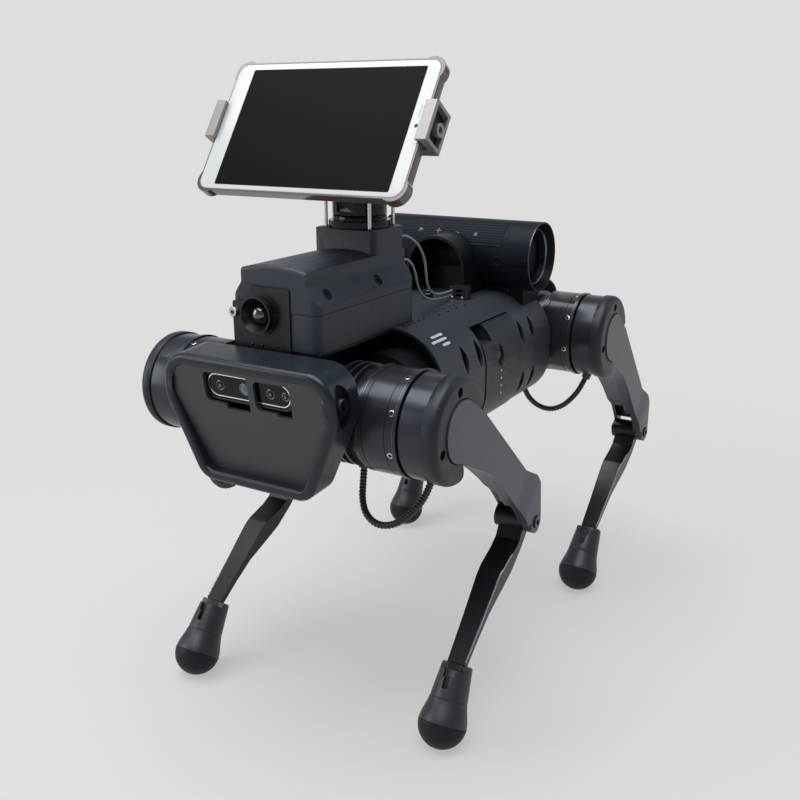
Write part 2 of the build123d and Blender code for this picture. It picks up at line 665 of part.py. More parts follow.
def mask_plate():
    """The flat face, with two windows over the depth camera."""
    sketch = mask_outline(6)
    sketch -= rounded_polygon([(-42.5, 48.4), (2, 48.4), (2, 22.6), (-42.5, 22.6)], (5, 0.5, 0.5, 6))
    sketch -= rounded_polygon([(-23.5, 24), (2, 24), (2, 18.8), (-21, 18.8)], (0.3, 0.3, 0.5, 0.5))
    sketch -= rounded_polygon([(8, 47.2), (43, 47.2), (43, 22.4), (8, 22.4)], (5, 5, 0.5, 6))
    sketch -= rounded_polygon([(27, 24), (43, 24), (43, 20.4), (29, 20.4)], (0.3, 0.3, 0.5, 0.5))
    plate = Pos(-PLATE_THICK, 0, 0) * Plane.YZ.location * prism(sketch, PLATE_THICK)
    return tilted(PLATE_X, PLATE_TILT) * plate - mask_rim()


def depth_camera():
    body_outline = Pos(0, CAMERA_HEIGHT_Z) * SlotOverall(CAMERA_LENGTH, CAMERA_HEIGHT)
    body = Pos(-CAMERA_DEPTH - PLATE_THICK, 0, 0) * Plane.YZ.location * prism(body_outline, CAMERA_DEPTH)
    face = Pos(-PLATE_THICK - 1.2, 0, 0) * Plane.YZ.location * prism(offset(body_outline, -1.6), 3)
    body -= face
    for y, radius in zip(LENS_Y, LENS_R):
        body -= rod_x(radius, -PLATE_THICK - 4, 0, y, CAMERA_HEIGHT_Z)
    lenses = [rod_x(r - 0.1, -PLATE_THICK - 4, -PLATE_THICK - 1.8, y, CAMERA_HEIGHT_Z)
              for y, r in zip(LENS_Y, LENS_R)]  # fmt: skip
    frame = tilted(PLATE_X, PLATE_TILT)
    return [frame * body - mask_rim()] + [frame * lens for lens in lenses]


# ---- payload ------------------------------------------------------------------------------------
def eye_panel_outline():
    """The front camera's panel, with one upper corner cut away beside the eye."""
    low_y, high_y, low_z, high_z = EYE_PANEL
    notch_y, notch_z = EYE_PANEL_NOTCH
    points = [(low_y, low_z), (high_y, low_z), (high_y, high_z), (notch_y, high_z), (notch_y, notch_z),
              (low_y, notch_z)]  # fmt: skip
    return rounded_polygon(points, (0.8, 0.8, 2.0, 2.0, 0.8, 2.0))


def payload_base():
    outline = Pos((PAYLOAD_REAR + PAYLOAD_FRONT) / 2, 0) * RectangleRounded(
        PAYLOAD_FRONT - PAYLOAD_REAR, 2 * PAYLOAD_HALF, 7
    )
    base = Pos(0, 0, TRUNK_TOP) * prism(outline, PAYLOAD_SPLIT - TRUNK_TOP)
    base -= Pos(0, 0, TRUNK_TOP + WALL) * prism(offset(outline, -WALL), 60)
    return base - cross_slab(eye_panel_outline(), PAYLOAD_FRONT - 2, 300)


def deck_section(inset=0.0):
    """The cover's section: upright edge, chamfer, upright deck side and a slightly arched top."""
    wide, narrow = PAYLOAD_HALF - inset, DECK_HALF - inset
    right = [(wide, PAYLOAD_SPLIT), (wide, CHAMFER_START), (narrow, CHAMFER_END), (narrow, DECK_EDGE - inset)]
    left = [(-y, z) for y, z in reversed(right)]
    arch = ThreePointArc(right[-1], (0, DECK_TOP - inset), left[0])
    return make_face([Polyline(*left, right[0]), Polyline(*right), arch])


def payload_cover():
    outline = Pos((PAYLOAD_REAR + PAYLOAD_FRONT) / 2, 0) * RectangleRounded(
        PAYLOAD_FRONT - PAYLOAD_REAR, 2 * PAYLOAD_HALF, 7
    )
    envelope = Pos(0, 0, 380) * prism(outline, 60)
    cover = cross_slab(deck_section(), PAYLOAD_REAR, PAYLOAD_FRONT) & envelope
    top_front = cover.edges().filter_by(GeomType.CIRCLE).sort_by(Axis.X)[-1]
    cover = fillet(top_front, 3)
    tower_outline = Pos((PAYLOAD_REAR + TOWER_FRONT) / 2, 0) * RectangleRounded(
        TOWER_FRONT - PAYLOAD_REAR, 2 * DECK_HALF, 5
    )
    tower = Pos(0, 0, 400) * prism(tower_outline, TOWER_TOP - 400)
    tower = fillet(tower.edges().group_by(Axis.Z)[-1], 1.6)
    cover += tower
    cover -= cross_slab(deck_section(WALL), PAYLOAD_REAR + WALL, PAYLOAD_FRONT - WALL - 2)
    cover -= Pos(0, 0, 380) * prism(offset(tower_outline, -WALL), TOWER_TOP - WALL - 380)
    cover -= cross_slab(eye_panel_outline(), PAYLOAD_FRONT - 2, 300)
    slope = degrees(atan2(CHAMFER_END - CHAMFER_START, PAYLOAD_HALF - DECK_HALF))
    hole_y, hole_z = (PAYLOAD_HALF + DECK_HALF) / 2, (CHAMFER_START + CHAMFER_END) / 2
    for x in COVER_HOLE_X:
        for side in (-1, 1):
            spot = Pos(x, side * hole_y, hole_z) * Rot(-side * slope, 0, 0)
            cover -= spot * Cylinder(5, 3.6)
            cover -= spot * Cylinder(2.4, 14)
    return cover


def front_camera():
    """A panel with a hooded glass eye, a thumb screw and two small lamps below."""
    front = PAYLOAD_FRONT + 1.2
    plate = cross_slab(eye_panel_outline(), PAYLOAD_FRONT - 2, front)
    hood = rod_x(17, front, front + 1.4, EYE_Y, EYE_Z)
    hood += Pos(front + 4.4, EYE_Y, EYE_Z) * Rot(0, 90, 0) * Cone(12.6, 15.2, 6)
    hood += rod_x(13.6, front, front + 2, EYE_Y, EYE_Z)
    plate += hood
    funnel_back = PAYLOAD_FRONT - 1
    plate -= Pos((funnel_back + front + 7.6) / 2, EYE_Y, EYE_Z) * Rot(0, 90, 0) * Cone(
        EYE_R + 0.2, 13.9, front + 7.6 - funnel_back
    )
    for y in LAMP_Y:
        plate -= rod_x(1.6, PAYLOAD_FRONT, PAYLOAD_FRONT + 2, y, LAMP_Z)
    eye = rod_x(EYE_R, funnel_back, funnel_back + 5, EYE_Y, EYE_Z)
    eye = fillet(eye.edges().group_by(Axis.X)[-1], 4.4)
    screw = rod_x(3.9, front, front + 6, -36.2, 379.6)
    return [plate, eye, screw]


# ---- lidar and stand ----------------------------------------------------------------------------
def lidar():
    base = rod_z(LIDAR_BASE_R, TOWER_TOP, TOWER_TOP + 6, LIDAR_X)
    base += rod_z(LIDAR_BASE_R - 3.5, TOWER_TOP, TOWER_TOP + 10.6, LIDAR_X)
    base = chamfer(base.edges().group_by(Axis.Z)[-1], 0.8)
    spindle = TOWER_TOP + 15
    base += rod_z(6, TOWER_TOP + 5, spindle, LIDAR_X)
    turret = rod_z(LIDAR_TURRET_R, TOWER_TOP + 11, TOWER_TOP + 28, LIDAR_X)
    turret = fillet(turret.edges().group_by(Axis.Z)[-1], 2.5)
    turret -= rod_z(6 + RUNNING_FIT, TOWER_TOP + 10, spindle + 0.4, LIDAR_X)
    turret -= block((LIDAR_X + 21.5, LIDAR_X + 30), (-9, 9), (TOWER_TOP + 14, TOWER_TOP + 24))
    return base, turret


def holder_stand():
    """Four rods, the plate they carry, and the fork of the tilt hinge with its bolt."""
    rods = [rod_z(STAND_R, TOWER_TOP, STAND_TOP, LIDAR_X + sx * STAND_X, sy * STAND_Y)
            for sx in (-1, 1) for sy in (-1, 1)]  # fmt: skip
    outline = Pos(LIDAR_X + 2, 0) * RectangleRounded(2 * STAND_X + 14, 2 * STAND_Y + 12, 5)
    plate = Pos(0, 0, STAND_TOP) * prism(outline, STAND_PLATE)
    hinge_x, hinge_z = HINGE
    for side in (-1, 1):
        inner, outer = side * (TONGUE_HALF + 0.4), side * (TONGUE_HALF + 5)
        lug = rod_y(HINGE_R, *sorted((inner, outer)), hinge_x, hinge_z)
        lug += block((hinge_x - HINGE_R, hinge_x + HINGE_R), (inner, outer), (STAND_TOP + 1, hinge_z))
        plate += lug
    plate -= rod_y(HINGE_BOLT_R, -20, 20, hinge_x, hinge_z)
    bolt = rod_y(HINGE_BOLT_R, -12, 12, hinge_x, hinge_z)
    bolt += rod_y(6.5, 11.1, 17, hinge_x, hinge_z) + rod_y(4.4, -14.5, -11.1, hinge_x, hinge_z)
    return rods + [plate, bolt]


# ---- tablet and clamp ---------------------------------------------------------------------------
def on_tablet(part):
    return Pos(*TABLET_CENTRE) * Rot(0, -TABLET_TILT, 0) * part


def hinge_on_tablet():
    """The hinge's place in the tablet's frame."""
    dx, dz = HINGE[0] - TABLET_CENTRE[0], HINGE[1] - TABLET_CENTRE[2]
    tilt = radians(TABLET_TILT)
    return dx * cos(tilt) + dz * sin(tilt), -dx * sin(tilt) + dz * cos(tilt)


def tablet():
    outline = RectangleRounded(TABLET_W, TABLET_H, 9)
    body = Pos(-TABLET_T, 0, 0) * Plane.YZ.location * prism(outline, TABLET_T)
    return fillet(body.edges().group_by(Axis.X)[-1], 0.8)


def tablet_case():
    outline = RectangleRounded(TABLET_W + 2 * CASE_WALL, TABLET_H + 2 * CASE_WALL, 10.8)
    for sy in (-1, 1):
        for sz in (-1, 1):
            corner = (sy * (TABLET_W / 2 - 8.5), sz * (TABLET_H / 2 - 8.5))
            outline += Pos(*corner) * Circle(11.8)
    case = Pos(-TABLET_T - CASE_WALL, 0, 0) * Plane.YZ.location * prism(outline, TABLET_T + CASE_WALL - 0.4)
    well = RectangleRounded(TABLET_W, TABLET_H, 9)
    return case - Pos(-TABLET_T, 0, 0) * Plane.YZ.location * prism(well, 20)


def holder_bar():
    """The clamp's bar behind the tablet, its pads, and the tongue that tilts in the stand's fork."""
    bar = block((BAR_BACK, BAR_FRONT), (-BAR_HALF, BAR_HALF), (CLAMP_Z - 12, CLAMP_Z + 12))
    bar = fillet(bar.edges().filter_by(Axis.Y), 3)
    for side in (-1, 1):
        slot = (CLAMP_Z - 8.3, CLAMP_Z + 8.3)
        bar -= block((BAR_BACK + 2.6, BAR_FRONT - 1.6), (side * 36, side * 90), slot)
    bar += block((BAR_FRONT - 2, -TABLET_T - CASE_WALL), (-30, 30), (CLAMP_Z - 9, CLAMP_Z + 9))
    hinge_x, hinge_z = hinge_on_tablet()
    middle = -TABLET_CENTRE[1]
    tongue = (middle - TONGUE_HALF, middle + TONGUE_HALF)
    arm = block((hinge_x, BAR_BACK + 2), tongue, (hinge_z - 7, hinge_z + 7))
    arm += rod_y(HINGE_R - 0.4, *tongue, hinge_x, hinge_z)
    return bar + arm - rod_y(HINGE_BOLT_R + RUNNING_FIT, -25, 25, hinge_x, hinge_z)


def clamp_jaw():
    """One sliding jaw: lip over the screen's edge, pocketed outer wall and an arm inside the bar."""
    plan = Polygon(
        (JAW_FRONT, JAW_LIP_IN), (JAW_FRONT, JAW_WALL_OUT), (JAW_BACK, JAW_WALL_OUT),
        (JAW_BACK, JAW_WALL_IN - 8), (-11.2, JAW_WALL_IN - 8), (-11.2, JAW_WALL_IN), (0.6, JAW_WALL_IN),
        (0.6, JAW_LIP_IN), align=None,
    )  # fmt: skip
    jaw = Pos(0, 0, -JAW_HALF) * prism(plan, 2 * JAW_HALF)
    corner = jaw.edges().filter_by(Axis.Z).sort_by_distance((JAW_FRONT, JAW_WALL_OUT, 0))[0]
    jaw = chamfer(corner, 1.2)
    pocket = rounded_polygon([(-16.5, -14), (1.5, -14), (1.5, 14), (-16.5, 14)], (2, 2, 2, 2))
    pocket -= Pos(JAW_BOSS_X, 0) * Circle(5.4)
    pocket -= Pos(JAW_BOSS_X - 4, 0) * Rectangle(8, 8)
    jaw -= side_slab(pocket, JAW_WALL_OUT - 4.5, JAW_WALL_OUT + 1)
    jaw -= rod_y(2.8, JAW_WALL_OUT - 4, JAW_WALL_OUT + 3, JAW_BOSS_X, 0)
    jaw += block((BAR_BACK + 3, BAR_FRONT - 2), (52, JAW_WALL_IN), (-8, 8))
    return Pos(0, 0, CLAMP_Z) * jaw


# ---- loudspeaker and small pieces on the trunk --------------------------------------------------
def speaker_body():
    body = rod_y(SPEAKER_R, -SPEAKER_HALF, SPEAKER_HALF)
    for side in (-1, 1):
        funnel = Pos(0, side * (SPEAKER_HALF - 7), 0) * Rot(-side * 90, 0, 0) * Cone(28.5, 34.0, 14.1)
        body -= funnel
        body -= rod_y(SPEAKER_MOUTH_R, *sorted((side * (SPEAKER_HALF - 24), side * (SPEAKER_HALF - 10))))
    body -= rod_y(29.0, -60, 60)
    return Pos(SPEAKER_X, 0, SPEAKER_Z) * body


def speaker_ends():
    """The passive radiator in each end: a rubber surround and a raised disc."""
    ends = []
    for side in (-1, 1):
        disc = rod_y(SPEAKER_MOUTH_R, *sorted((side * (SPEAKER_HALF - 20), side * (SPEAKER_HALF - 17))))
        disc += rod_y(19, *sorted((side * (SPEAKER_HALF - 20), side * (SPEAKER_HALF - 14.5))))
        ends.append(Pos(SPEAKER_X, 0, SPEAKER_Z) * disc)
    return ends


def speaker_saddle():
    """An arched hood in front of the speaker, and two feet that carry the speaker."""
    def arch(radius):
        shape = Pos(ARCH_Y, ARCH_Z) * Circle(radius)
        shape += Pos(ARCH_Y, (ARCH_Z + TRUNK_TOP) / 2) * Rectangle(2 * radius, ARCH_Z - TRUNK_TOP)
        return shape & Pos(0, TRUNK_TOP + 60) * Rectangle(300, 120)

    rear = SPEAKER_X + SPEAKER_R
    hood = cross_slab(arch(ARCH_R), rear - 14, ARCH_FRONT)
    hood -= cross_slab(arch(ARCH_R - ARCH_WALL), rear - 2, ARCH_FRONT + 1)
    hood -= rod_y(SPEAKER_R, -95, 95, SPEAKER_X, SPEAKER_Z)
    pieces = [hood]
    for y in (-62, 70):
        foot = block((SPEAKER_X - 20, SPEAKER_X + 20), (y - 8, y + 8), (340, 362))
        foot -= rod_y(SPEAKER_R, -95, 95, SPEAKER_X, SPEAKER_Z)
        pieces.append(foot - cross_slab(trunk_section(), TRUNK_REAR, TRUNK_FRONT))
    return pieces


def port_hub():
    """A small block with two sockets in front and a hexagonal pillar beside it."""
    (rear, front), (low_y, high_y), (_, top) = HUB
    hub = fillet(block(*HUB).edges().filter_by(Axis.Z), 1)
    for z in SOCKET_Z:
        hub -= block((front - 6, front + 1), (high_y - 11.5, high_y - 4.5), (z - 1.3, z + 1.3))
    for _, y, z in (WIRES[0][-1], WIRES[1][-1]):
        hub -= rod_x(WIRE_D / 2 + 0.6, front - 0.01, front + 2, y, z)
    pillar = Pos(2, -18, TRUNK_TOP + 8) * extrude(RegularPolygon(4, 6), amount=8, both=True)
    return [hub, pillar]


def main():
    for name in THIGH_ANGLES:
        leg(name, 1 if name.startswith("front") else -1, name.endswith("left"))
    upper, lower = trunk_shells()
    save("trunk_upper_shell", upper)
    save("trunk_lower_shell", lower)
    save("battery_pack", battery())
    save("power_button", power_button())
    save("roll_motors", *roll_motors())
    save("chassis_frame", chassis())
    save("mask_rim", mask_rim(), *mask_screws())
    save("mask_plate", mask_plate())
    save("depth_camera", *depth_camera())
    save("payload_base", payload_base())
    save("payload_cover", payload_cover())
    save("front_camera", *front_camera())
    base, turret = lidar()
    save("lidar_base", base)
    save("lidar_turret", turret)
    save("holder_stand", *holder_stand())
    save("holder_bar", on_tablet(holder_bar()))
    save("clamp_jaw_left", on_tablet(clamp_jaw()))
    save("clamp_jaw_right", on_tablet(mirror_y(clamp_jaw())))
    save("tablet", on_tablet(tablet()))
    save("tablet_case", on_tablet(tablet_case()))
    save("speaker", speaker_body(), *speaker_ends())
    save("speaker_saddle", *speaker_saddle())
    save("port_hub", *port_hub())
    save("payload_wires", *[tube(f"wire {i}", route, WIRE_D) for i, route in enumerate(WIRES)])


main()
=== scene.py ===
"""A four-legged walking robot with a sensor payload, a loudspeaker and a tablet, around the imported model."""

import json
from math import cos, pi, radians, sin

import bmesh
import bpy
from mathutils import Matrix, Vector


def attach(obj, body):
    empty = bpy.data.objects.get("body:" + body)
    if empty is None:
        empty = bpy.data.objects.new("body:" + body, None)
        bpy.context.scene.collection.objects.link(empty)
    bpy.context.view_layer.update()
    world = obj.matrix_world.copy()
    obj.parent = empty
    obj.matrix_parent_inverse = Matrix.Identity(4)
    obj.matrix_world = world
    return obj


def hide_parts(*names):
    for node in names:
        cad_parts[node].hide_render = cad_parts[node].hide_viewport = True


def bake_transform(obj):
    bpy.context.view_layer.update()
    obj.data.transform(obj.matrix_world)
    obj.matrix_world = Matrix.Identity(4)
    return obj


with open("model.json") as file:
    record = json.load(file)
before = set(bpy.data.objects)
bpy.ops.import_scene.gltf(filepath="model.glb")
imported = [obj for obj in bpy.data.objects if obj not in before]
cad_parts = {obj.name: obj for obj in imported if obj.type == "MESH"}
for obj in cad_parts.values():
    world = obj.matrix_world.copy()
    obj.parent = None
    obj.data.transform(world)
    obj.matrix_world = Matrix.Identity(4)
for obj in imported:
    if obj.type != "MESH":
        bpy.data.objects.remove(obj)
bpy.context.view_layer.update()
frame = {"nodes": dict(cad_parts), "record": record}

MM = 0.001
BODY_X = 45.8  # the hips' midpoint, in the row's frame
HIP_X, HIP_Z, LEG_Y = 178.5, 297.1, 131.3
THIGH = CALF = 200.0
FORK_HALF, FORK_DEPTH = 12.8, 152.0
LEGS = ("front_left", "front_right", "rear_left", "rear_right")
THIGH_ANGLES = {"front_left": 48.0, "front_right": 43.1, "rear_left": 42.2, "rear_right": 53.2}
CALF_ANGLES = {"front_left": 44.938, "front_right": 49.696, "rear_left": 50.491, "rear_right": 38.924}


# ---- camera ---------------------------------------------------------------------------------------
LENS, SENSOR_WIDTH = 42.63, 36.0
CAMERA_X, CAMERA_Y, CAMERA_Z = 0.7954, 0.4625, 0.5388  # metres from the hips' midpoint
HEADING, LOOKS_DOWN, CAMERA_ROLL = 210.877, 17.368, -0.2  # degrees


def add_camera():
    data = bpy.data.cameras.new("camera")
    data.sensor_width = SENSOR_WIDTH
    data.lens = LENS
    data.clip_start, data.clip_end = 0.05, 60.0
    camera = bpy.data.objects.new("camera", data)
    bpy.context.scene.collection.objects.link(camera)
    turn = Matrix.Rotation(radians(HEADING - 90), 4, "Z")
    pitch = Matrix.Rotation(radians(90 - LOOKS_DOWN), 4, "X")
    roll = Matrix.Rotation(radians(CAMERA_ROLL), 4, "Z")
    spot = Matrix.Translation((CAMERA_X + BODY_X * MM, CAMERA_Y, CAMERA_Z))
    camera.matrix_world = spot @ turn @ pitch @ roll
    bpy.context.scene.camera = camera


# ---- materials ------------------------------------------------------------------------------------
class Shader:
    """A small helper round one Principled material."""

    def __init__(self, name, rough, metal=0.0, **sockets):
        self.material = bpy.data.materials.new(name)
        self.material.use_nodes = True
        self.tree = self.material.node_tree
        self.bsdf = self.tree.nodes["Principled BSDF"]
        self.bsdf.inputs["Roughness"].default_value = rough
        self.bsdf.inputs["Metallic"].default_value = metal
        for socket, value in sockets.items():
            self.bsdf.inputs[socket.replace("_", " ")].default_value = value
        self.coords = self.node("ShaderNodeTexCoord").outputs["Object"]

    def node(self, kind, **values):
        made = self.tree.nodes.new(kind)
        for name, value in values.items():
            setattr(made, name, value)
        return made

    def link(self, source, target):
        self.tree.links.new(source, target)

    def noise(self, scale, detail=3.0, roughness=0.55):
        made = self.node("ShaderNodeTexNoise")
        made.inputs["Scale"].default_value = scale
        made.inputs["Detail"].default_value = detail
        made.inputs["Roughness"].default_value = roughness
        self.link(self.coords, made.inputs["Vector"])
        return made.outputs["Fac"]

    def wave(self, direction, scale, distortion):
        made = self.node("ShaderNodeTexWave", wave_type="BANDS", bands_direction=direction)
        made.inputs["Scale"].default_value = scale
        made.inputs["Distortion"].default_value = distortion
        self.link(self.coords, made.inputs["Vector"])
        return made.outputs["Fac"]

    def mix(self, factor, dark, light):
        """Colours the surface between dark and light."""
        made = self.node("ShaderNodeMix", data_type="RGBA")
        made.inputs[6].default_value = (*dark, 1)
        made.inputs[7].default_value = (*light, 1)
        self.link(factor, made.inputs[0])
        self.link(made.outputs[2], self.bsdf.inputs["Base Color"])

    def drift(self, factor, colour, vary):
        """Colours the surface a share darker and lighter than one colour."""
        self.mix(factor, [c * (1 - vary) for c in colour], [c * (1 + vary) for c in colour])

    def uneven_gloss(self, source, low, high, rough_low, rough_high):
        """Spreads the source's values, from low to high, over a range of roughness."""
        made = self.node("ShaderNodeMapRange")
        for index, value in enumerate((low, high, rough_low, rough_high), start=1):
            made.inputs[index].default_value = value
        self.link(source, made.inputs[0])
        self.link(made.outputs[0], self.bsdf.inputs["Roughness"])

    def bump(self, height, strength, distance):
        made = self.node("ShaderNodeBump")
        made.inputs["Strength"].default_value = strength
        made.inputs["Distance"].default_value = distance
        self.link(height, made.inputs["Height"])
        self.link(made.outputs[0], self.bsdf.inputs["Normal"])


def moulded(name, colour, rough, grain=2600.0, depth=0.00006, strength=0.35, vary=0.12, **sockets):
    """Textured plastic: fine spark-eroded grain, slow colour drift and slightly uneven gloss."""
    s = Shader(name, rough, **sockets)
    s.drift(s.noise(22.0, 4.0), colour, vary)
    s.uneven_gloss(s.noise(160.0, 4.0), 0.3, 0.7, rough - 0.04, rough + 0.05)
    s.bump(s.noise(grain, 2.0), strength, depth)
    return s.material


def anodised(name, colour, rough, vary=0.1, metal=0.55):
    """Bead-blasted and anodised aluminium, with faint handling marks."""
    s = Shader(name, rough, metal)
    s.drift(s.noise(40.0, 5.0), colour, vary)
    s.uneven_gloss(s.noise(420.0, 6.0, 0.7), 0.35, 0.75, rough - 0.05, rough + 0.09)
    s.bump(s.noise(3400.0, 1.0), 0.2, 0.00003)
    return s.material


def turned(name, colour, rough, metal):
    """Metal turned about the Y axis: rings too fine to see one by one."""
    s = Shader(name, rough, metal)
    s.drift(s.noise(18.0, 2.0), colour, 0.06)
    s.uneven_gloss(s.noise(24.0, 2.0), 0.3, 0.7, rough - 0.01, rough + 0.02)
    s.bump(s.wave("Y", 420.0, 1.5), 0.02, 0.00001)
    return s.material


def gloss(name, colour, rough, vary=0.05, **sockets):
    """Smooth gloss with a trace of orange peel."""
    s = Shader(name, rough, **sockets)
    s.drift(s.noise(30.0), colour, vary)
    s.uneven_gloss(s.noise(240.0, 4.0), 0.3, 0.7, rough - 0.02, rough + 0.03)
    s.bump(s.noise(500.0, 1.0), 0.03, 0.00003)
    return s.material


def bare_metal(name, colour, rough):
    """Unpainted metal with fine scratches."""
    s = Shader(name, rough, 1.0)
    s.drift(s.noise(90.0, 5.0), colour, 0.1)
    s.uneven_gloss(s.noise(700.0, 5.0, 0.7), 0.3, 0.7, rough - 0.04, rough + 0.08)
    s.bump(s.noise(1500.0, 2.0), 0.08, 0.00003)
    return s.material


def woven(name, colour, rough):
    """A tight weave across Y and round the curve, as on a loudspeaker's control panel."""
    s = Shader(name, rough, Specular_IOR_Level=0.08)
    both = s.node("ShaderNodeMath", operation="MULTIPLY")
    for index, direction in enumerate(("Y", "Z")):
        s.link(s.wave(direction, 135.0, 0.4), both.inputs[index])
    s.mix(both.outputs[0], [c * 0.3 for c in colour], [c * 2.2 for c in colour])
    s.bump(both.outputs[0], 0.8, 0.0005)
    return s.material


def glowing(name, colour, strength):
    """A small lit lamp."""
    s = Shader(name, 0.3, Emission_Color=(*colour, 1), Emission_Strength=strength)
    s.mix(s.noise(60.0), [c * 0.9 for c in colour], colour)
    return s.material


MATERIALS = {
    "shell": moulded("shell", (0.022, 0.028, 0.036), 0.44, vary=0.08),
    "battery": moulded("battery", (0.012, 0.016, 0.022), 0.42, vary=0.08, Specular_IOR_Level=0.4),
    "button": moulded("button", (0.012, 0.014, 0.017), 0.42),
    "mask": moulded("mask", (0.009, 0.013, 0.019), 0.3, grain=1900.0, strength=0.15,
                    Specular_IOR_Level=0.35),
    "plate": moulded("plate", (0.028, 0.031, 0.036), 0.5, grain=1500.0, strength=0.25, vary=0.06),
    "payload": moulded("payload", (0.017, 0.024, 0.034), 0.42, grain=2300.0, strength=0.4,
                       Specular_IOR_Level=0.35),
    "panel": moulded("panel", (0.005, 0.006, 0.007), 0.36, grain=2600.0, Specular_IOR_Level=0.35),
    "cover": moulded("cover", (0.011, 0.015, 0.021), 0.42, grain=2400.0, Specular_IOR_Level=0.35),
    "boot": moulded("boot", (0.02, 0.023, 0.028), 0.42, grain=2000.0),
    "pad": moulded("pad", (0.009, 0.012, 0.016), 0.5, grain=1400.0, depth=0.0001, strength=0.5,
                   Specular_IOR_Level=0.2),
    "speaker": moulded("speaker", (0.0055, 0.0085, 0.0125), 0.4, grain=2100.0, Specular_IOR_Level=0.08),
    "saddle": moulded("saddle", (0.003, 0.0042, 0.006), 0.36, Specular_IOR_Level=0.2),
    "hub": moulded("hub", (0.005, 0.006, 0.007), 0.35),
    "cable": moulded("cable", (0.003, 0.004, 0.005), 0.3, grain=1800.0, strength=0.15),
    "motor": turned("motor", (0.036, 0.041, 0.049), 0.27, metal=0.65),
    "limb": anodised("limb", (0.058, 0.069, 0.083), 0.38, metal=0.3),
    "calf": anodised("calf", (0.007, 0.009, 0.012), 0.32, metal=0.3),
    "frame": anodised("frame", (0.011, 0.013, 0.016), 0.45),
    "holder": anodised("holder", (0.035, 0.037, 0.042), 0.4),
    "jaw": anodised("jaw", (0.27, 0.25, 0.245), 0.4, vary=0.06),
    # Near-black for joint lines, ports and borders; in the roof's screw recesses it is painted shade.
    "pocket": moulded("pocket", (0.004, 0.005, 0.006), 0.5, Specular_IOR_Level=0.2),
    "bolt": bare_metal("bolt", (0.05, 0.052, 0.057), 0.34),
    "steel": bare_metal("steel", (0.5, 0.51, 0.53), 0.22),
    "silver": bare_metal("silver", (0.8, 0.8, 0.82), 0.2),
    "mark": moulded("mark", (0.055, 0.06, 0.068), 0.5),
    "lidar": gloss("lidar", (0.0025, 0.003, 0.004), 0.08, Specular_IOR_Level=0.22),
    "glass": gloss("glass", (0.003, 0.0035, 0.0045), 0.05, Specular_IOR_Level=0.22),
    "eye_glass": gloss("eye_glass", (0.004, 0.0045, 0.0055), 0.03, Coat_Weight=1.0, Coat_IOR=1.9),
    "blue_glass": gloss("blue_glass", (0.03, 0.13, 0.2), 0.06, Coat_Weight=0.8),
    "bezel": gloss("bezel", (0.5, 0.515, 0.52), 0.14, vary=0.01),
    "screen": gloss("screen", (0.005, 0.006, 0.0075), 0.35, vary=0.02, Specular_IOR_Level=0.03),
    "case": gloss("case", (0.085, 0.06, 0.057), 0.13, vary=0.3, Coat_Weight=0.6),
    "wire": gloss("wire", (0.2, 0.21, 0.23), 0.3, vary=0.15),
    "print": moulded("print", (0.6, 0.61, 0.62), 0.5, strength=0.1, vary=0.05),
    "light": glowing("light", (0.75, 0.8, 0.85), 0.1),
    # Lighter metal for lens rims and the knee's pivot rings; on the motors' lips, the speaker's end rims and
    # the hub's top edge it is a painted highlight.
    "rim_metal_and_highlight": bare_metal("rim_metal_and_highlight", (0.14, 0.15, 0.17), 0.3),
    "woven": woven("woven", (0.012, 0.017, 0.024), 0.6),
}

NODE_LOOKS = {
    "trunk_upper_shell": "shell", "trunk_lower_shell": "shell", "battery_pack": "battery",
    "power_button": "button", "roll_motors": "motor", "chassis_frame": "frame", "mask_rim": "mask",
    "mask_plate": "plate", "depth_camera": "hub", "payload_base": "payload",
    "payload_cover": "payload", "front_camera": "panel", "lidar_base": "lidar", "lidar_turret": "lidar",
    "holder_stand": "steel", "holder_bar": "holder", "clamp_jaw_left": "jaw", "clamp_jaw_right": "jaw",
    "tablet": "bezel", "tablet_case": "case", "speaker": "speaker", "speaker_saddle": "saddle",
    "port_hub": "hub",
}  # fmt: skip
LEG_LOOKS = {
    "hip_actuator": "motor", "knee_motor": "motor", "shoulder_cover": "cover", "thigh_link": "limb",
    "leg_bolts": "bolt", "calf_link": "calf", "foot_boot": "boot", "foot_pad": "pad",
}  # fmt: skip
for leg in LEGS:
    for part, look in LEG_LOOKS.items():
        NODE_LOOKS[f"{leg}_{part}"] = look
BODY_OF = {node: body for body, nodes in frame["record"]["behaviour"]["bodies"].items() for node in nodes}


# ---- pieces ---------------------------------------------------------------------------------------
# Bounds of the painted shade inside the knee fork.
FORK_SLACK_Y, FORK_SLACK_Z = 0.2, 0.5  # how far past the fork's own faces still counts as inside it
NODE_CREASE, DETAIL_CREASE, TUBE_CREASE = 28.0, 35.0, 50.0  # degrees
BEVEL = 0.4
ALREADY_ROUND = ("pad", "motor")  # looks whose CAD shapes need no bevel


def place(x, y, z):
    """Millimetres from the hips' midpoint to metres in the row's frame."""
    return Vector(((x + BODY_X) * MM, y * MM, z * MM))


def point_mm(at, x, y, z):
    """A point given in mm in the frame at, in the row's frame."""
    return at @ Vector((x * MM, y * MM, z * MM))


def add_piece(name, mesh, look, body, crease):
    """Makes a piece that rides on a body; edges sharper than the crease, in degrees, stay hard."""
    piece = bpy.data.objects.new(name, mesh)
    bpy.context.scene.collection.objects.link(piece)
    mesh.materials.clear()
    mesh.materials.append(MATERIALS[look])
    mesh.shade_smooth()
    mesh.set_sharp_from_angle(angle=radians(crease))
    if body:
        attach(piece, body)
    return piece


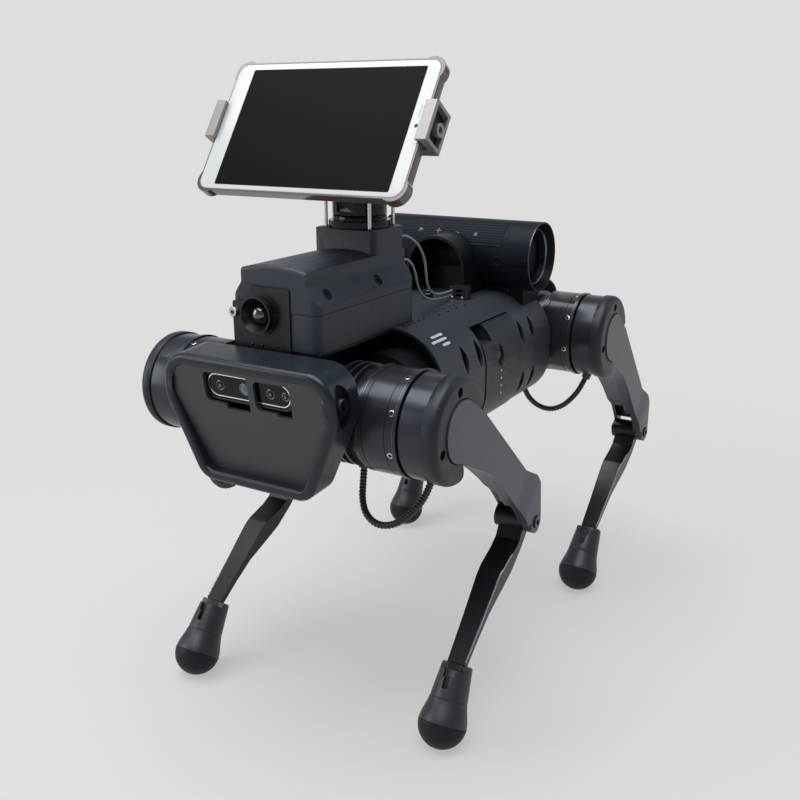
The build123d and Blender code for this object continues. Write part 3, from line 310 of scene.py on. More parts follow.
def leg_frames(leg):
    """The hip's, thigh's and calf's frames, with the side as a factor of Y."""
    fore = 1 if leg.startswith("front") else -1
    side = 1 if leg.endswith("left") else -1
    hip = Matrix.Translation(place(fore * HIP_X, 0, HIP_Z))
    thigh = hip @ Matrix.Rotation(radians(THIGH_ANGLES[leg]), 4, "Y")
    bend = Matrix.Rotation(radians(-THIGH_ANGLES[leg] - CALF_ANGLES[leg]), 4, "Y")
    calf = thigh @ Matrix.Translation((0, 0, -THIGH * MM)) @ bend
    return hip, thigh, calf, side


def paint_fork_shade(mesh, leg):
    """Paints the knee fork's inner faces and the walls round its opening in the calf's near-black, as painted
    shade.
    """
    _, thigh, _, side = leg_frames(leg)
    to_local = thigh.inverted()
    inner_limit = LEG_Y + FORK_HALF + FORK_SLACK_Y
    top_limit = FORK_SLACK_Z - FORK_DEPTH
    # The calf's near-black stands in for the shade inside the fork.
    mesh.materials.append(MATERIALS["calf"])
    for face in mesh.polygons:
        spot = (to_local @ face.center) / MM
        if side * spot.y < inner_limit and spot.z < top_limit:
            face.material_index = 1


def finished_mesh(node):
    """The node's shape in the row's frame, with doubled points joined and flat faces made whole."""
    mesh = node.data.copy()
    mesh.transform(node.matrix_world)
    work = bmesh.new()
    work.from_mesh(mesh)
    bmesh.ops.remove_doubles(work, verts=work.verts, dist=1e-6)
    bmesh.ops.dissolve_limit(work, angle_limit=radians(0.3), verts=work.verts, edges=work.edges)
    work.to_mesh(mesh)
    work.free()
    return mesh


def bevel_edges(piece):
    bevel = piece.modifiers.new("edges", "BEVEL")
    bevel.width = BEVEL * MM
    bevel.segments = 2
    bevel.limit_method = "ANGLE"
    bevel.angle_limit = radians(NODE_CREASE)
    bevel.use_clamp_overlap = True
    bevel.harden_normals = True


def dress_nodes():
    """Gives each CAD node a finished copy with its material and small real bevels."""
    for name, look in NODE_LOOKS.items():
        mesh = finished_mesh(frame["nodes"][name])
        piece = add_piece(name + "_finished", mesh, look, BODY_OF[name], NODE_CREASE)
        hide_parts(name)
        # The thigh's fork gets painted shade inside.
        if name.endswith("thigh_link"):
            paint_fork_shade(mesh, name.removesuffix("_thigh_link"))
        if look not in ALREADY_ROUND:
            bevel_edges(piece)


class Builder:
    """Collects turned and flat details of one look into one mesh."""

    def __init__(self):
        self.work = bmesh.new()

    def rings(self, rows, closed=False):
        """Joins rows of points, each the same length; a row of one point closes to a tip."""
        made = [[self.work.verts.new(point) for point in row] for row in rows]
        pairs = list(zip(made, made[1:]))
        if closed:
            pairs.append((made[-1], made[0]))
        for low, high in pairs:
            count = max(len(low), len(high))
            for i in range(count):
                j = (i + 1) % count
                corners = [low[i % len(low)], low[j % len(low)], high[j % len(high)], high[i % len(high)]]
                corners = list(dict.fromkeys(corners))
                if len(corners) > 2:
                    self.work.faces.new(corners)
        return made

    def capped(self, rows):
        """Joins rows of points and closes both ends."""
        made = self.rings(rows)
        self.work.faces.new(reversed(made[0]))
        self.work.faces.new(made[-1])

    def lathe(self, profile, origin, axis, steps=32, ribs=0.0):
        """Turns (radius, height) pairs, in mm, about an axis; ribs is how deep the knurling is."""
        turn = Vector(axis).to_track_quat("Z", "Y")
        rows = []
        for radius, height in profile:
            if radius == 0:
                rows.append([origin + turn @ Vector((0, 0, height * MM))])
                continue
            row = []
            for i in range(steps):
                angle = 2 * pi * i / steps
                reach = (radius - ribs * (i % 2)) * MM
                row.append(origin + turn @ Vector((reach * cos(angle), reach * sin(angle), height * MM)))
            rows.append(row)
        self.rings(rows)

    def slab(self, outline, low, high, at, edge=0.15):
        """A flat piece from (y, z) points, x = low to high in the frame at, its top edge eased."""
        mid_y = sum(y for y, _ in outline) / len(outline)
        mid_z = sum(z for _, z in outline) / len(outline)
        rows = []
        for x, inset in ((low, 0), (high - edge, 0), (high, edge)):
            row = []
            for y, z in outline:
                away = Vector((y - mid_y, z - mid_z))
                away *= 1 - inset / max(away.length, 0.001)
                row.append(point_mm(at, x, mid_y + away.x, mid_z + away.y))
            rows.append(row)
        self.capped(rows)

    def band(self, outer, inner, low, high, at):
        """A flat loop between two outlines of the same number of points."""
        rows = []
        for outline, x in ((outer, low), (outer, high), (inner, high), (inner, low)):
            rows.append([point_mm(at, x, y, z) for y, z in outline])
        self.rings(rows, closed=True)

    def finish(self, name, look, body, crease=DETAIL_CREASE):
        bmesh.ops.recalc_face_normals(self.work, faces=self.work.faces)
        mesh = bpy.data.meshes.new(name)
        self.work.to_mesh(mesh)
        self.work.free()
        return add_piece(name, mesh, look, body, crease)


def rounded(width, height, radius, middle=(0, 0), steps=8):
    """A rounded rectangle's outline, as (y, z) points."""
    points = []
    for turn, (sy, sz) in enumerate(((1, 1), (-1, 1), (-1, -1), (1, -1))):
        for i in range(steps + 1):
            angle = radians(90 * turn + 90 * i / steps)
            y = middle[0] + sy * (width / 2 - radius) + radius * cos(angle)
            z = middle[1] + sz * (height / 2 - radius) + radius * sin(angle)
            points.append((y, z))
    return points


def tilted_frame(x, y, z, tilt):
    """A frame at a point in mm from the hips' midpoint, turned about Y by tilt degrees."""
    return Matrix.Translation(place(x, y, z)) @ Matrix.Rotation(radians(tilt), 4, "Y")


def facing(point, outward, along):
    """A frame at a point in the row's frame whose X leaves the surface and whose Y runs along it."""
    x = Vector(outward).normalized()
    y = Vector(along).normalized()
    z = x.cross(y)
    turn = Matrix((x, y, z)).transposed().to_4x4()
    return Matrix.Translation(point) @ turn


# ---- cords ----------------------------------------------------------------------------------------
CABLE_D, WIRE_D = 6.2, 2.2
CORRUGATION = 2.9  # from one ridge to the next
RIDGES = (0.5, 0.5, 0.42, 0.42)  # each corrugation's ring radii, as shares of the diameter
TUBE_SIDES = 20
FRONT_CABLE = [
    (2, 60, -46), (4, 60, -59), (9, 62, -72), (15, 69.5, -82.5), (17, 82, -88), (14.5, 95, -86),
    (10, 106, -78), (5, 114.5, -67.5), (1.5, 120, -56), (0, 122.5, -47),
]  # fmt: skip
REAR_CABLE = [
    (34, 60, -36), (35, 60, -49), (33, 61.5, -62), (27.5, 66, -74.5), (21.5, 75, -84), (17.5, 87.5, -87),
    (15, 100, -82), (12, 110, -72), (8, 117.5, -60.5), (5, 122, -48),
]  # fmt: skip
WIRES = [
    [(66.2, 18, 421), (58, 19.5, 424), (49, 22, 424.6), (41, 25.5, 420.5), (34, 28.5, 413.5),
     (28.5, 30, 404.5), (25.5, 30.5, 394.5), (24, 30.5, 384.5), (21, 30, 375.5), (14.5, 29.5, 368.5),
     (5, 29, 364), (-5, 28.5, 361.9), (-15, 27.9, 361), (-25, 27.3, 360.7), (-35, 27, 360.6)],
    [(66.2, 27, 404), (60, 27.8, 405), (54.2, 29.2, 403.2), (50, 30.8, 398.2), (47.6, 32, 391.5),
     (46, 32.6, 384.3), (43, 32.6, 377), (37.5, 32.2, 370.5), (29.5, 31.6, 365.4), (19.5, 31, 361.6),
     (7.5, 30.2, 359), (-3, 29.3, 357.5), (-13.5, 28.2, 356.6), (-24.3, 27.4, 356.3), (-35, 27, 356.2)],
]  # fmt: skip
WIRE_LENGTH = (0.1386, 0.1251)


def spline_curve(name, points):
    """One smooth NURBS line whose control points are the route."""
    curve = bpy.data.curves.new(name, "CURVE")
    curve.dimensions = "3D"
    curve.resolution_u = 24
    line = curve.splines.new("NURBS")
    line.points.add(len(points) - 1)
    for spot, point in zip(line.points, points):
        spot.co = (*point, 1)
    line.order_u = 3
    line.use_endpoint_u = True
    return curve


def points_along(name, points):
    """The points of the route's smooth line, read from the curve with no bevel."""
    guide = bpy.data.objects.new(name + "_guide", spline_curve(name + "_guide", points))
    mesh = bpy.data.meshes.new_from_object(guide)
    line = [vertex.co.copy() for vertex in mesh.vertices]
    bpy.data.meshes.remove(mesh)
    bpy.data.objects.remove(guide)
    return line


def walk(line, step):
    """Points and directions every step along a line."""
    travelled, target = 0.0, 0.0
    for low, high in zip(line, line[1:]):
        reach = (high - low).length
        while target <= travelled + reach:
            share = (target - travelled) / reach
            yield low.lerp(high, share), (high - low).normalized()
            target += step
        travelled += reach


def corrugated_tube(name, line, diameter):
    """A ribbed conduit along a line, with closed ends."""
    work = Builder()
    rows = []
    across = Vector((1, 0, 0))
    for index, (point, along) in enumerate(walk(line, CORRUGATION * MM / len(RIDGES))):
        across = (across - along * across.dot(along)).normalized()
        over = along.cross(across)
        reach = RIDGES[index % len(RIDGES)] * diameter * MM
        turns = [2 * pi * i / TUBE_SIDES for i in range(TUBE_SIDES)]
        rows.append([point + reach * (cos(turn) * across + sin(turn) * over) for turn in turns])
    first, last = ([row[0].lerp(row[TUBE_SIDES // 2], 0.5)] for row in (rows[0], rows[-1]))
    work.rings([first, *rows, last])
    return work.finish(name, "cable", None, TUBE_CREASE)


def add_leg_cables():
    """Four corrugated cables, each held by a hip link and by the knee motor that turns with the thigh."""
    for leg in LEGS:
        end, hand = leg.split("_")
        fore = 1 if end == "front" else -1
        side = 1 if hand == "left" else -1
        route = FRONT_CABLE if fore > 0 else REAR_CABLE
        points = [place(fore * HIP_X + x, side * y, HIP_Z + z) for x, y, z in route]
        line = points_along(leg, points)
        tube = corrugated_tube(f"{leg}_corrugated_cable", line, CABLE_D)
        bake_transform(tube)
        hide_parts(f"{leg}_leg_cable")


def add_wires():
    """Two thin wires from the payload's tower to the port hub."""
    for index, (route, length) in enumerate(zip(WIRES, WIRE_LENGTH)):
        points = [place(*point) for point in route]
        name = f"payload_wire_{index}"
        curve = spline_curve(name, points)
        curve.bevel_depth = WIRE_D / 2 * MM
        curve.bevel_resolution = 4
        curve.use_fill_caps = True
        wire = bpy.data.objects.new(name, curve)
        bpy.context.scene.collection.objects.link(wire)
        curve.materials.append(MATERIALS["wire"])
        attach(wire, "trunk")
        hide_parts("payload_wires")


# ---- legs' details --------------------------------------------------------------------------------
SCREW_ANGLES = [71.2 - 45 * i for i in range(8)]
REAR_SCREW_TURN = -37.7
MOTOR_R, SCREW_Y = 43.5, 109.2
WASHER = [(2.5, -0.5), (2.5, 0.15), (2.3, 0.25), (1.75, 0.25), (1.75, -0.5)]
SCREW_HEAD = [(1.7, -0.5), (1.7, 0.1), (1.5, 0.25), (0.9, 0.25), (0.9, -0.2), (0, -0.2)]
LIPS = [  # radius, then where the lip starts and ends along the hip motor's axis
    (43.75, 79.4, 80.2), (44.72, 112.4, 113.0), (42.5, 50.0, 50.5), (42.5, 57.5, 58.0),
    (42.5, 65.0, 65.5), (41.0, 75.6, 76.2),
]  # fmt: skip
GROOVES = [(43.56, 84.0, 84.9), (43.56, 104.6, 105.3)]
RING_DEPTH, LIP_EASE = 0.6, 0.1
# A painted highlight: a thin steel line along the calf's front outer corner, where the edge catches light.
CALF_HIGHLIGHT_LINE = [  # down the calf's front outer corner: x, y from the leg's middle, z from the knee
    (3.1, 11.45, -37), (9.1, 11.2, -51), (12.6, 10.85, -60), (13.6, 10.5, -68), (13.9, 10.05, -88),
    (14.25, 9.45, -109), (15.2, 8.9, -129), (16.0, 8.4, -147),
]  # fmt: skip
CALF_HIGHLIGHT_R = 0.7
PIVOT_Y = 155.0
PIVOT_RING = [(5.6, -0.6), (5.6, 0.05), (5.2, 0.2), (4.4, 0.2), (4.2, -0.2)]
BOOT_TILT = 13.0
PAD_BEAD = [(21.0, -0.9), (21.85, -0.5), (21.9, 0.3), (21.5, 0.9), (20.8, 1.1)]


def motor_screws(leg):
    """Eight socket screws with pale washers round the hip motor, just inboard of its rim."""
    hip, _, _, side = leg_frames(leg)
    phase = 0 if leg.startswith("front") else REAR_SCREW_TURN
    washers, heads = Builder(), Builder()
    for angle in SCREW_ANGLES:
        turn = radians(angle + phase)
        out = Vector((cos(turn), 0, sin(turn)))
        foot = point_mm(hip, MOTOR_R * out.x, side * SCREW_Y, MOTOR_R * out.z)
        washers.lathe(WASHER, foot, out, 24)
        heads.lathe(SCREW_HEAD, foot, out, 18)
    washers.finish(f"{leg}_screw_washers", "silver", f"{leg}_hip")
    heads.finish(f"{leg}_screw_heads", "bolt", f"{leg}_hip")


def motor_rings(leg):
    """Thin raised turned lips, whose lighter metal is a painted highlight on the motor's rims, and dark joint
    lines round the hip motor.
    """
    hip, _, _, side = leg_frames(leg)
    axis = (0, side, 0)
    lips, grooves = Builder(), Builder()
    for radius, low, high in LIPS:
        root = radius - RING_DEPTH
        profile = [(root, low), (radius, low + LIP_EASE), (radius, high - LIP_EASE), (root, high)]
        lips.lathe(profile, hip.translation, axis, 96)
    for radius, low, high in GROOVES:
        root = radius - RING_DEPTH
        profile = [(root, low), (radius, low), (radius, high), (root, high)]
        grooves.lathe(profile, hip.translation, axis, 96)
    lips.finish(f"{leg}_turned_lips", "rim_metal_and_highlight", f"{leg}_hip")
    grooves.finish(f"{leg}_motor_grooves", "pocket", f"{leg}_hip")


def knee_details(leg):
    """A bright steel line down the calf's front outer corner, a painted highlight, and a ring round the knee's
    pivot bolt.
    """
    _, thigh, calf, side = leg_frames(leg)
    circle = [(CALF_HIGHLIGHT_R * cos(pi * i / 3), CALF_HIGHLIGHT_R * sin(pi * i / 3)) for i in range(6)]
    rows = []
    for x, y, z in CALF_HIGHLIGHT_LINE:
        rows.append([point_mm(calf, x + across, side * (LEG_Y + y) + over, z) for across, over in circle])
    edge = Builder()
    edge.rings(rows)
    edge.finish(f"{leg}_calf_highlight", "steel", f"{leg}_calf")
    ring = Builder()
    ring.lathe(PIVOT_RING, point_mm(thigh, 0, side * PIVOT_Y, -THIGH), (0, side, 0), 36)
    ring.finish(f"{leg}_pivot_ring", "rim_metal_and_highlight", f"{leg}_thigh")


def foot_details(leg):
    """The joint line between the boot and its rubber pad."""
    _, _, calf, side = leg_frames(leg)
    foot = calf @ Matrix.Rotation(radians(BOOT_TILT), 4, "Y")
    bead = Builder()
    bead.lathe(PAD_BEAD, point_mm(calf, 0, side * LEG_Y, -CALF), foot.col[2].xyz, 72)
    bead.finish(f"{leg}_pad_bead", "pocket", f"{leg}_calf")


# ---- tablet, face and payload ----------------------------------------------------------------------
TABLET_MIDDLE, TABLET_TILT = (156.8, 2.6, 522.1), -33.7
SCREEN_W, SCREEN_H, SCREEN_MIDDLE = 167.6, 107.4, (2.5, -0.9)
SCREEN_LOW, SCREEN_HIGH, BORDER_HIGH = -0.4, 0.12, 0.06  # along the tablet's facing
TABLET_EYE = (0, 92.5, 1.1)
EARPIECE = rounded(1.0, 12, 0.49, (92.3, 14))
JAW_POCKET = rounded(17.6, 27.6, 2.0)
JAW_FACE_X, JAW_FACE_Y, JAW_FACE_Z = -7.5, 103.1, 4.4  # the pocket's floor, from the tablet's middle

FACE_MIDDLE, FACE_TILT = (248.9, 0, 290.0), 9.2
WINDOW_Z, GLASS_X = 36.6, -3.9  # in the face's frame
WINDOW = rounded(86.4, 21.4, 10.6, (0, 36.6))
LINE_OUTER, LINE_INNER = rounded(82.0, 19.6, 9.7, (0, 36.7)), rounded(80.2, 17.8, 8.8, (0, 36.7))
CAMERA_LENSES = [  # Y and radius of each, and whether it is the tinted colour camera
    (-28.5, 4.2, False), (-4.0, 5.2, True), (21.5, 4.2, False), (36.0, 3.6, False),
]  # fmt: skip
LIP_MIDDLE, LIP_TILT = (255.0, 0, 290.0), 4.0
LIP_SCREW_X, LIP_SCREW_Y, LIP_SCREW_Z = -14, 81.3, 33
KNURLED_HEAD = [(6.5, -2.8), (6.95, -2.2), (6.95, 1.8), (6.6, 2.9), (4.4, 3.05), (3.0, 2.6)]

EYE_MIDDLE, EYE_R, EYE_BULGE = (215.9, -12.7, 379.2), 7.8, 7.2
THUMB_SCREW_AT = (216.9, -36.2, 379.6)
THUMB_SCREW = [(4.1, 0), (4.15, 0.6), (4.15, 5.6), (3.7, 6.25), (1.8, 6.25), (1.6, 5.2), (0, 5.2)]
FRONT_LAMPS = [(216.5, -22.2, 353.6), (216.5, -11.9, 353.6)]
LAMP_DOME = [(1.5, 0), (1.4, 0.5), (0.7, 0.9), (0, 1.0)]
ROOF_NORMAL_Y, ROOF_NORMAL_Z = 0.812, 0.584  # the chamfered roof's slope
ROOF_Y, ROOF_Z, ROOF_SCREWS_X, ROOF_SCREW_SINK = 37.1, 396.25, (120.0, 194.5), 1.8
ROOF_SCREW = [(4.9, -0.4), (4.9, 0.05), (4.2, 0.05), (4.2, 0.9), (3.9, 1.2), (2.2, 1.2), (2.0, 0.2), (0, 0.2)]
PAYLOAD_BACK, PAYLOAD_FRONT, PAYLOAD_HALF_Y, SEAM_Z = 66.2, 215.7, 42.6, 382.6
SEAM_OUT, SEAM_IN, SEAM_HALF_Z = 0.12, 1.0, 0.35


def add_tablet_details():
    """The screen and its dark border, the front eye, the earpiece and the jaws' pocket floors."""
    tablet = tilted_frame(*TABLET_MIDDLE, TABLET_TILT)
    forward = tablet.col[0].xyz
    screen = Builder()
    screen.slab(rounded(SCREEN_W, SCREEN_H, 1.2, SCREEN_MIDDLE), SCREEN_LOW, SCREEN_HIGH, tablet)
    screen.finish("tablet_screen", "screen", "tablet_holder")
    border = Builder()
    outer = rounded(SCREEN_W + 1.0, SCREEN_H + 1.0, 1.6, SCREEN_MIDDLE)
    inner = rounded(SCREEN_W - 0.2, SCREEN_H - 0.2, 1.2, SCREEN_MIDDLE)
    border.band(outer, inner, SCREEN_LOW, BORDER_HIGH, tablet)
    border.finish("tablet_screen_border", "pocket", "tablet_holder")
    eye = Builder()
    eye.lathe([(1.6, -0.3), (1.6, 0.08), (0, 0.1)], point_mm(tablet, *TABLET_EYE), forward, 20)
    eye.finish("tablet_eye", "glass", "tablet_holder")
    earpiece = Builder()
    earpiece.slab(EARPIECE, -0.3, 0.06, tablet, 0.05)
    earpiece.finish("tablet_earpiece", "jaw", "tablet_holder")
    for side, name in ((1, "left"), (-1, "right")):
        spot = point_mm(tablet, JAW_FACE_X, side * JAW_FACE_Y, JAW_FACE_Z)
        floor = Builder()
        floor.slab(JAW_POCKET, -0.2, 0.15, facing(spot, (0, side, 0), forward), 0.05)
        floor.finish(f"jaw_pocket_{name}", "pocket", f"{name}_jaw")


def camera_lenses(face):
    """The depth camera's four lenses: a rim, a dome and a bright pupil each."""
    out = face.col[0].xyz
    rims, clear, tinted, pupils = Builder(), Builder(), Builder(), Builder()
    for y, radius, is_tinted in CAMERA_LENSES:
        spot = point_mm(face, GLASS_X, y, WINDOW_Z)
        rims.lathe([(radius, -0.4), (radius, 0.35), (radius - 0.35, 0.5), (radius - 0.9, 0.3),
                    (radius - 1.1, -0.2)], spot, out, 36)
        lens = radius - 1.0
        dome = [(lens, 0.0), (lens * 0.8, 0.35), (lens * 0.45, 0.6), (0, 0.7)]
        (tinted if is_tinted else clear).lathe(dome, spot, out, 30)
        pupils.lathe([(radius * 0.34, 0.3), (radius * 0.34, 0.75), (radius * 0.2, 0.85), (0, 0.85)],
                     spot, out, 24)
    rims.finish("depth_camera_rims", "rim_metal_and_highlight", "trunk")
    clear.finish("depth_camera_lenses", "glass", "trunk")
    tinted.finish("depth_camera_colour_lens", "blue_glass", "trunk")
    pupils.finish("depth_camera_pupils", "eye_glass", "trunk")


def add_face_details():
    """The depth camera's glass, silver line and lenses, and the knurled screws in the mask's sides."""
    face = tilted_frame(*FACE_MIDDLE, FACE_TILT)
    window = Builder()
    window.slab(WINDOW, -4.6, GLASS_X, face)
    window.finish("depth_camera_window", "glass", "trunk")
    line = Builder()
    line.band(LINE_OUTER, LINE_INNER, -4.0, -3.55, face)
    line.finish("depth_camera_line", "silver", "trunk")
    camera_lenses(face)
    lip = tilted_frame(*LIP_MIDDLE, LIP_TILT)
    knurls = Builder()
    for side in (1, -1):
        spot = point_mm(lip, LIP_SCREW_X, side * LIP_SCREW_Y, LIP_SCREW_Z)
        knurls.lathe(KNURLED_HEAD, spot, (0, side, 0), 72, 0.22)
    knurls.finish("mask_screw_knurls", "bolt", "trunk")


def add_payload_details():
    """The front eye, thumb screw and lamps, the roof's screws and the joint line under the cover."""
    lens = Builder()
    turns = [pi * i / 16 for i in range(8)]
    dome = [(EYE_R * cos(turn), EYE_BULGE * sin(turn)) for turn in turns] + [(0, EYE_BULGE)]
    lens.lathe(dome, place(*EYE_MIDDLE), (1, 0, 0), 48)
    lens.finish("eye_lens", "eye_glass", "trunk")
    thumb = Builder()
    thumb.lathe(THUMB_SCREW, place(*THUMB_SCREW_AT), (1, 0, 0), 48, 0.18)
    thumb.finish("thumb_screw", "steel", "trunk")
    lamps = Builder()
    for spot in FRONT_LAMPS:
        lamps.lathe(LAMP_DOME, place(*spot), (1, 0, 0), 20)
    lamps.finish("front_lamps", "glass", "trunk")
    # The roof's screws and a disc across the bottom of each recess are near-black: painted shade in the
    # recesses.
    screws = Builder()
    for x in ROOF_SCREWS_X:
        for side in (1, -1):
            normal = Vector((0, side * ROOF_NORMAL_Y, ROOF_NORMAL_Z))
            spot = place(x, side * ROOF_Y, ROOF_Z) - normal * ROOF_SCREW_SINK * MM
            screws.lathe(ROOF_SCREW, spot, normal, 30)
    screws.finish("cover_screws", "pocket", "trunk")
    seam = Builder()
    length, width = PAYLOAD_FRONT - PAYLOAD_BACK, 2 * PAYLOAD_HALF_Y
    outer = rounded(width + SEAM_OUT, length + SEAM_OUT, 7)
    inner = rounded(width - SEAM_IN, length - SEAM_IN, 6.6)
    flat = tilted_frame((PAYLOAD_FRONT + PAYLOAD_BACK) / 2, 0, SEAM_Z, -90)
    seam.band(outer, inner, -SEAM_HALF_Z, SEAM_HALF_Z, flat)
    seam.finish("payload_seam", "pocket", "trunk")


# ---- trunk, speaker and hub ------------------------------------------------------------------------
CHARGE_LIGHT_X, CHARGE_LIGHT_Y, CHARGE_LIGHTS_Z = -8, 95.9, (294.0, 286.5, 279.0, 271.4)
CHARGE_LIGHT = [(0.8, -0.4), (0.8, 0.15), (0.4, 0.25), (0, 0.28)]
MARK_START, MARK_WIDTH = 70.0, 2.6
MARK_BARS = ((56.0, 20.0), (50.0, 26.0), (44.0, 13.0))  # degrees up the shell, and length
SHELL_Y, SHELL_Z, SHELL_R = 44, 301, 51  # the middle and radius of the shell's rounded shoulder
RIVETS_X, RIVET_Y, RIVET_Z = range(-100, 100, 10), 42.3, 352
RIVET = [(1.5, -0.4), (1.5, 0.08), (1.1, 0.08), (0.9, 0.02), (0, 0.02)]

SPEAKER_X, SPEAKER_Z, SPEAKER_R, SPEAKER_HALF_Y = -115.0, 387.8, 35.5, 89.0
PANEL_PHI, PANEL_Y, PANEL_STEPS, PANEL_TUCK = (21.0, 68.5), (-61.0, 57.0), 24, 4
TRIM_R = 0.55
SPEAKER_MARKS = [  # a triangle, a plus, a minus and a dot: outline, Y and degrees up the barrel
    ([(-2.6, -2.6), (3.4, 0), (-2.6, 2.6)], -38.2, 41.4),
    (rounded(6.4, 1.3, 0.6), -17.5, 41.0),
    (rounded(1.3, 6.4, 0.6), -17.5, 41.0),
    (rounded(6.4, 1.3, 0.6), 4.1, 39.9),
    (rounded(4.4, 4.4, 2.1), 26.3, 38.9),
]
END_RIM = [(34.2, -0.6), (34.9, 0.02), (35.4, -0.1), (35.56, -0.8), (35.3, -1.2)]
END_RECESS = [(27.6, -8.2), (28.6, -7.4), (28.9, -6.8)]
PORT = [(5.2, -1.0), (5.2, 0.5), (4.6, 0.8), (3.4, 0.6), (3.2, -0.2), (0, -0.2)]
PORT_Y, PORT_PHI, TAB_Y, TAB_PHI = 54.7, -3.4, 77.8, -2

HUB_FRONT, HUB_PINS_Y, HUB_PINS_Z = -35, (28.0, 39.0), 354.2
HUB_PIN = [(1.4, -0.3), (1.4, 0.6), (0.9, 0.8), (0, 0.8)]
HUB_TOP = (-41, 33.5, 364.5)
PLUG_AT = (-26, 4, 351.6)
PLUG = [(5.4, 0), (5.4, 5.4), (4.8, 6.0), (3.0, 6.0), (3.0, 8.4), (2.4, 9.0), (0, 9.0)]


def add_trunk_details():
    """The battery's charge lights, the three-bar mark and the rivets along the top's edges."""
    lights = Builder()
    for z in CHARGE_LIGHTS_Z:
        lights.lathe(CHARGE_LIGHT, place(CHARGE_LIGHT_X, CHARGE_LIGHT_Y, z), (0, 1, 0), 16)
    lights.finish("charge_lights", "light", "trunk")
    bars = Builder()
    for phi, length in MARK_BARS:
        out = Vector((0, cos(radians(phi)), sin(radians(phi))))
        spot = place(MARK_START + length / 2, SHELL_Y + SHELL_R * out.y, SHELL_Z + SHELL_R * out.z)
        bars.slab(rounded(length, MARK_WIDTH, 1.25), -0.3, 0.12, facing(spot, out, (1, 0, 0)), 0.05)
    bars.finish("trunk_mark", "print", "trunk")
    rivets = Builder()
    for x in RIVETS_X:
        for side in (1, -1):
            rivets.lathe(RIVET, place(x, side * RIVET_Y, RIVET_Z), (0, 0, 1), 16)
    rivets.finish("top_rivets", "pocket", "trunk")


def on_barrel(y, phi, lift=0.0):
    """A point on the speaker's barrel, phi degrees up from its front."""
    reach = SPEAKER_R + lift
    return place(SPEAKER_X + reach * cos(radians(phi)), y, SPEAKER_Z + reach * sin(radians(phi)))


def speaker_panel():
    """The woven control panel, its corners tucked in, and the thin dark line round it."""
    low_phi, high_phi = PANEL_PHI
    right, left = PANEL_Y
    turns = [low_phi + (high_phi - low_phi) * i / PANEL_STEPS for i in range(PANEL_STEPS + 1)]
    rows = []
    for i, phi in enumerate(turns):
        tuck = PANEL_TUCK - min(i, PANEL_STEPS - i, PANEL_TUCK)
        rows.append([on_barrel(right + tuck, phi, 0.35), on_barrel(left - tuck, phi, 0.35),
                     on_barrel(left - 1, phi, -0.4), on_barrel(right + 1, phi, -0.4)])
    panel = Builder()
    panel.capped(rows)
    panel.finish("speaker_panel", "woven", "trunk", 30.0)
    path = [on_barrel(left, phi, 0.2) for phi in turns]
    path += [on_barrel(right, phi, 0.2) for phi in reversed(turns)]
    trim = Builder()
    for start, end in zip(path, path[1:] + path[:1]):
        length = (end - start).length / MM
        trim.lathe([(0, 0), (TRIM_R, 0), (TRIM_R, length), (0, length)], start, end - start, 8)
    trim.finish("speaker_panel_trim", "pocket", "trunk")


def add_speaker_details():
    """The control panel and its marks, the rings in both ends, whose lighter metal is a painted highlight on
    the ends' rims, the round port and the tab beside it.
    """
    speaker_panel()
    marks = Builder()
    for outline, y, phi in SPEAKER_MARKS:
        out = Vector((cos(radians(phi)), 0, sin(radians(phi))))
        marks.slab(outline, 0, 0.5, facing(on_barrel(y, phi, 0.1), out, (0, 1, 0)), 0.05)
    marks.finish("speaker_marks", "mark", "trunk")
    # Lighter metal on the end rims: a painted highlight.
    rings = Builder()
    for side in (1, -1):
        for profile in (END_RIM, END_RECESS):
            rings.lathe(profile, place(SPEAKER_X, side * SPEAKER_HALF_Y, SPEAKER_Z), (0, side, 0), 96)
    rings.finish("speaker_end_rings", "rim_metal_and_highlight", "trunk")
    out = Vector((1, 0, -0.06)).normalized()
    port = Builder()
    port.lathe(PORT, on_barrel(PORT_Y, PORT_PHI), out, 32)
    port.finish("speaker_port", "pocket", "trunk")
    tab = Builder()
    tab.slab(rounded(17.5, 4.6, 1.6), -1.2, 1.6, facing(on_barrel(TAB_Y, TAB_PHI), out, (0, 1, 0)), 0.4)
    tab.finish("speaker_tab", "saddle", "trunk")


def add_hub_details():
    """Two pins in the port hub's front, a painted highlight round its top edge, and the plug beside it."""
    pins = Builder()
    for y in HUB_PINS_Y:
        pins.lathe(HUB_PIN, place(HUB_FRONT, y, HUB_PINS_Z), (1, 0, 0), 16)
    pins.finish("hub_pins", "silver", "trunk")
    # A band of lighter metal round the hub's top edge: a painted highlight.
    edge = Builder()
    top = tilted_frame(*HUB_TOP, -90)
    edge.band(rounded(18.6, 11.6, 1.0), rounded(17.2, 10.2, 0.8), -0.2, 0.12, top)
    edge.finish("hub_top_edge", "rim_metal_and_highlight", "trunk")
    plug = Builder()
    plug.lathe(PLUG, place(*PLUG_AT), (0, 0, 1), 6)
    plug.finish("trunk_top_plug", "bolt", "trunk")


def add_details():
    for leg in LEGS:
        motor_screws(leg)
        motor_rings(leg)
        knee_details(leg)
        foot_details(leg)
    add_tablet_details()
    add_face_details()
    add_payload_details()
    add_trunk_details()
    add_speaker_details()
    add_hub_details()


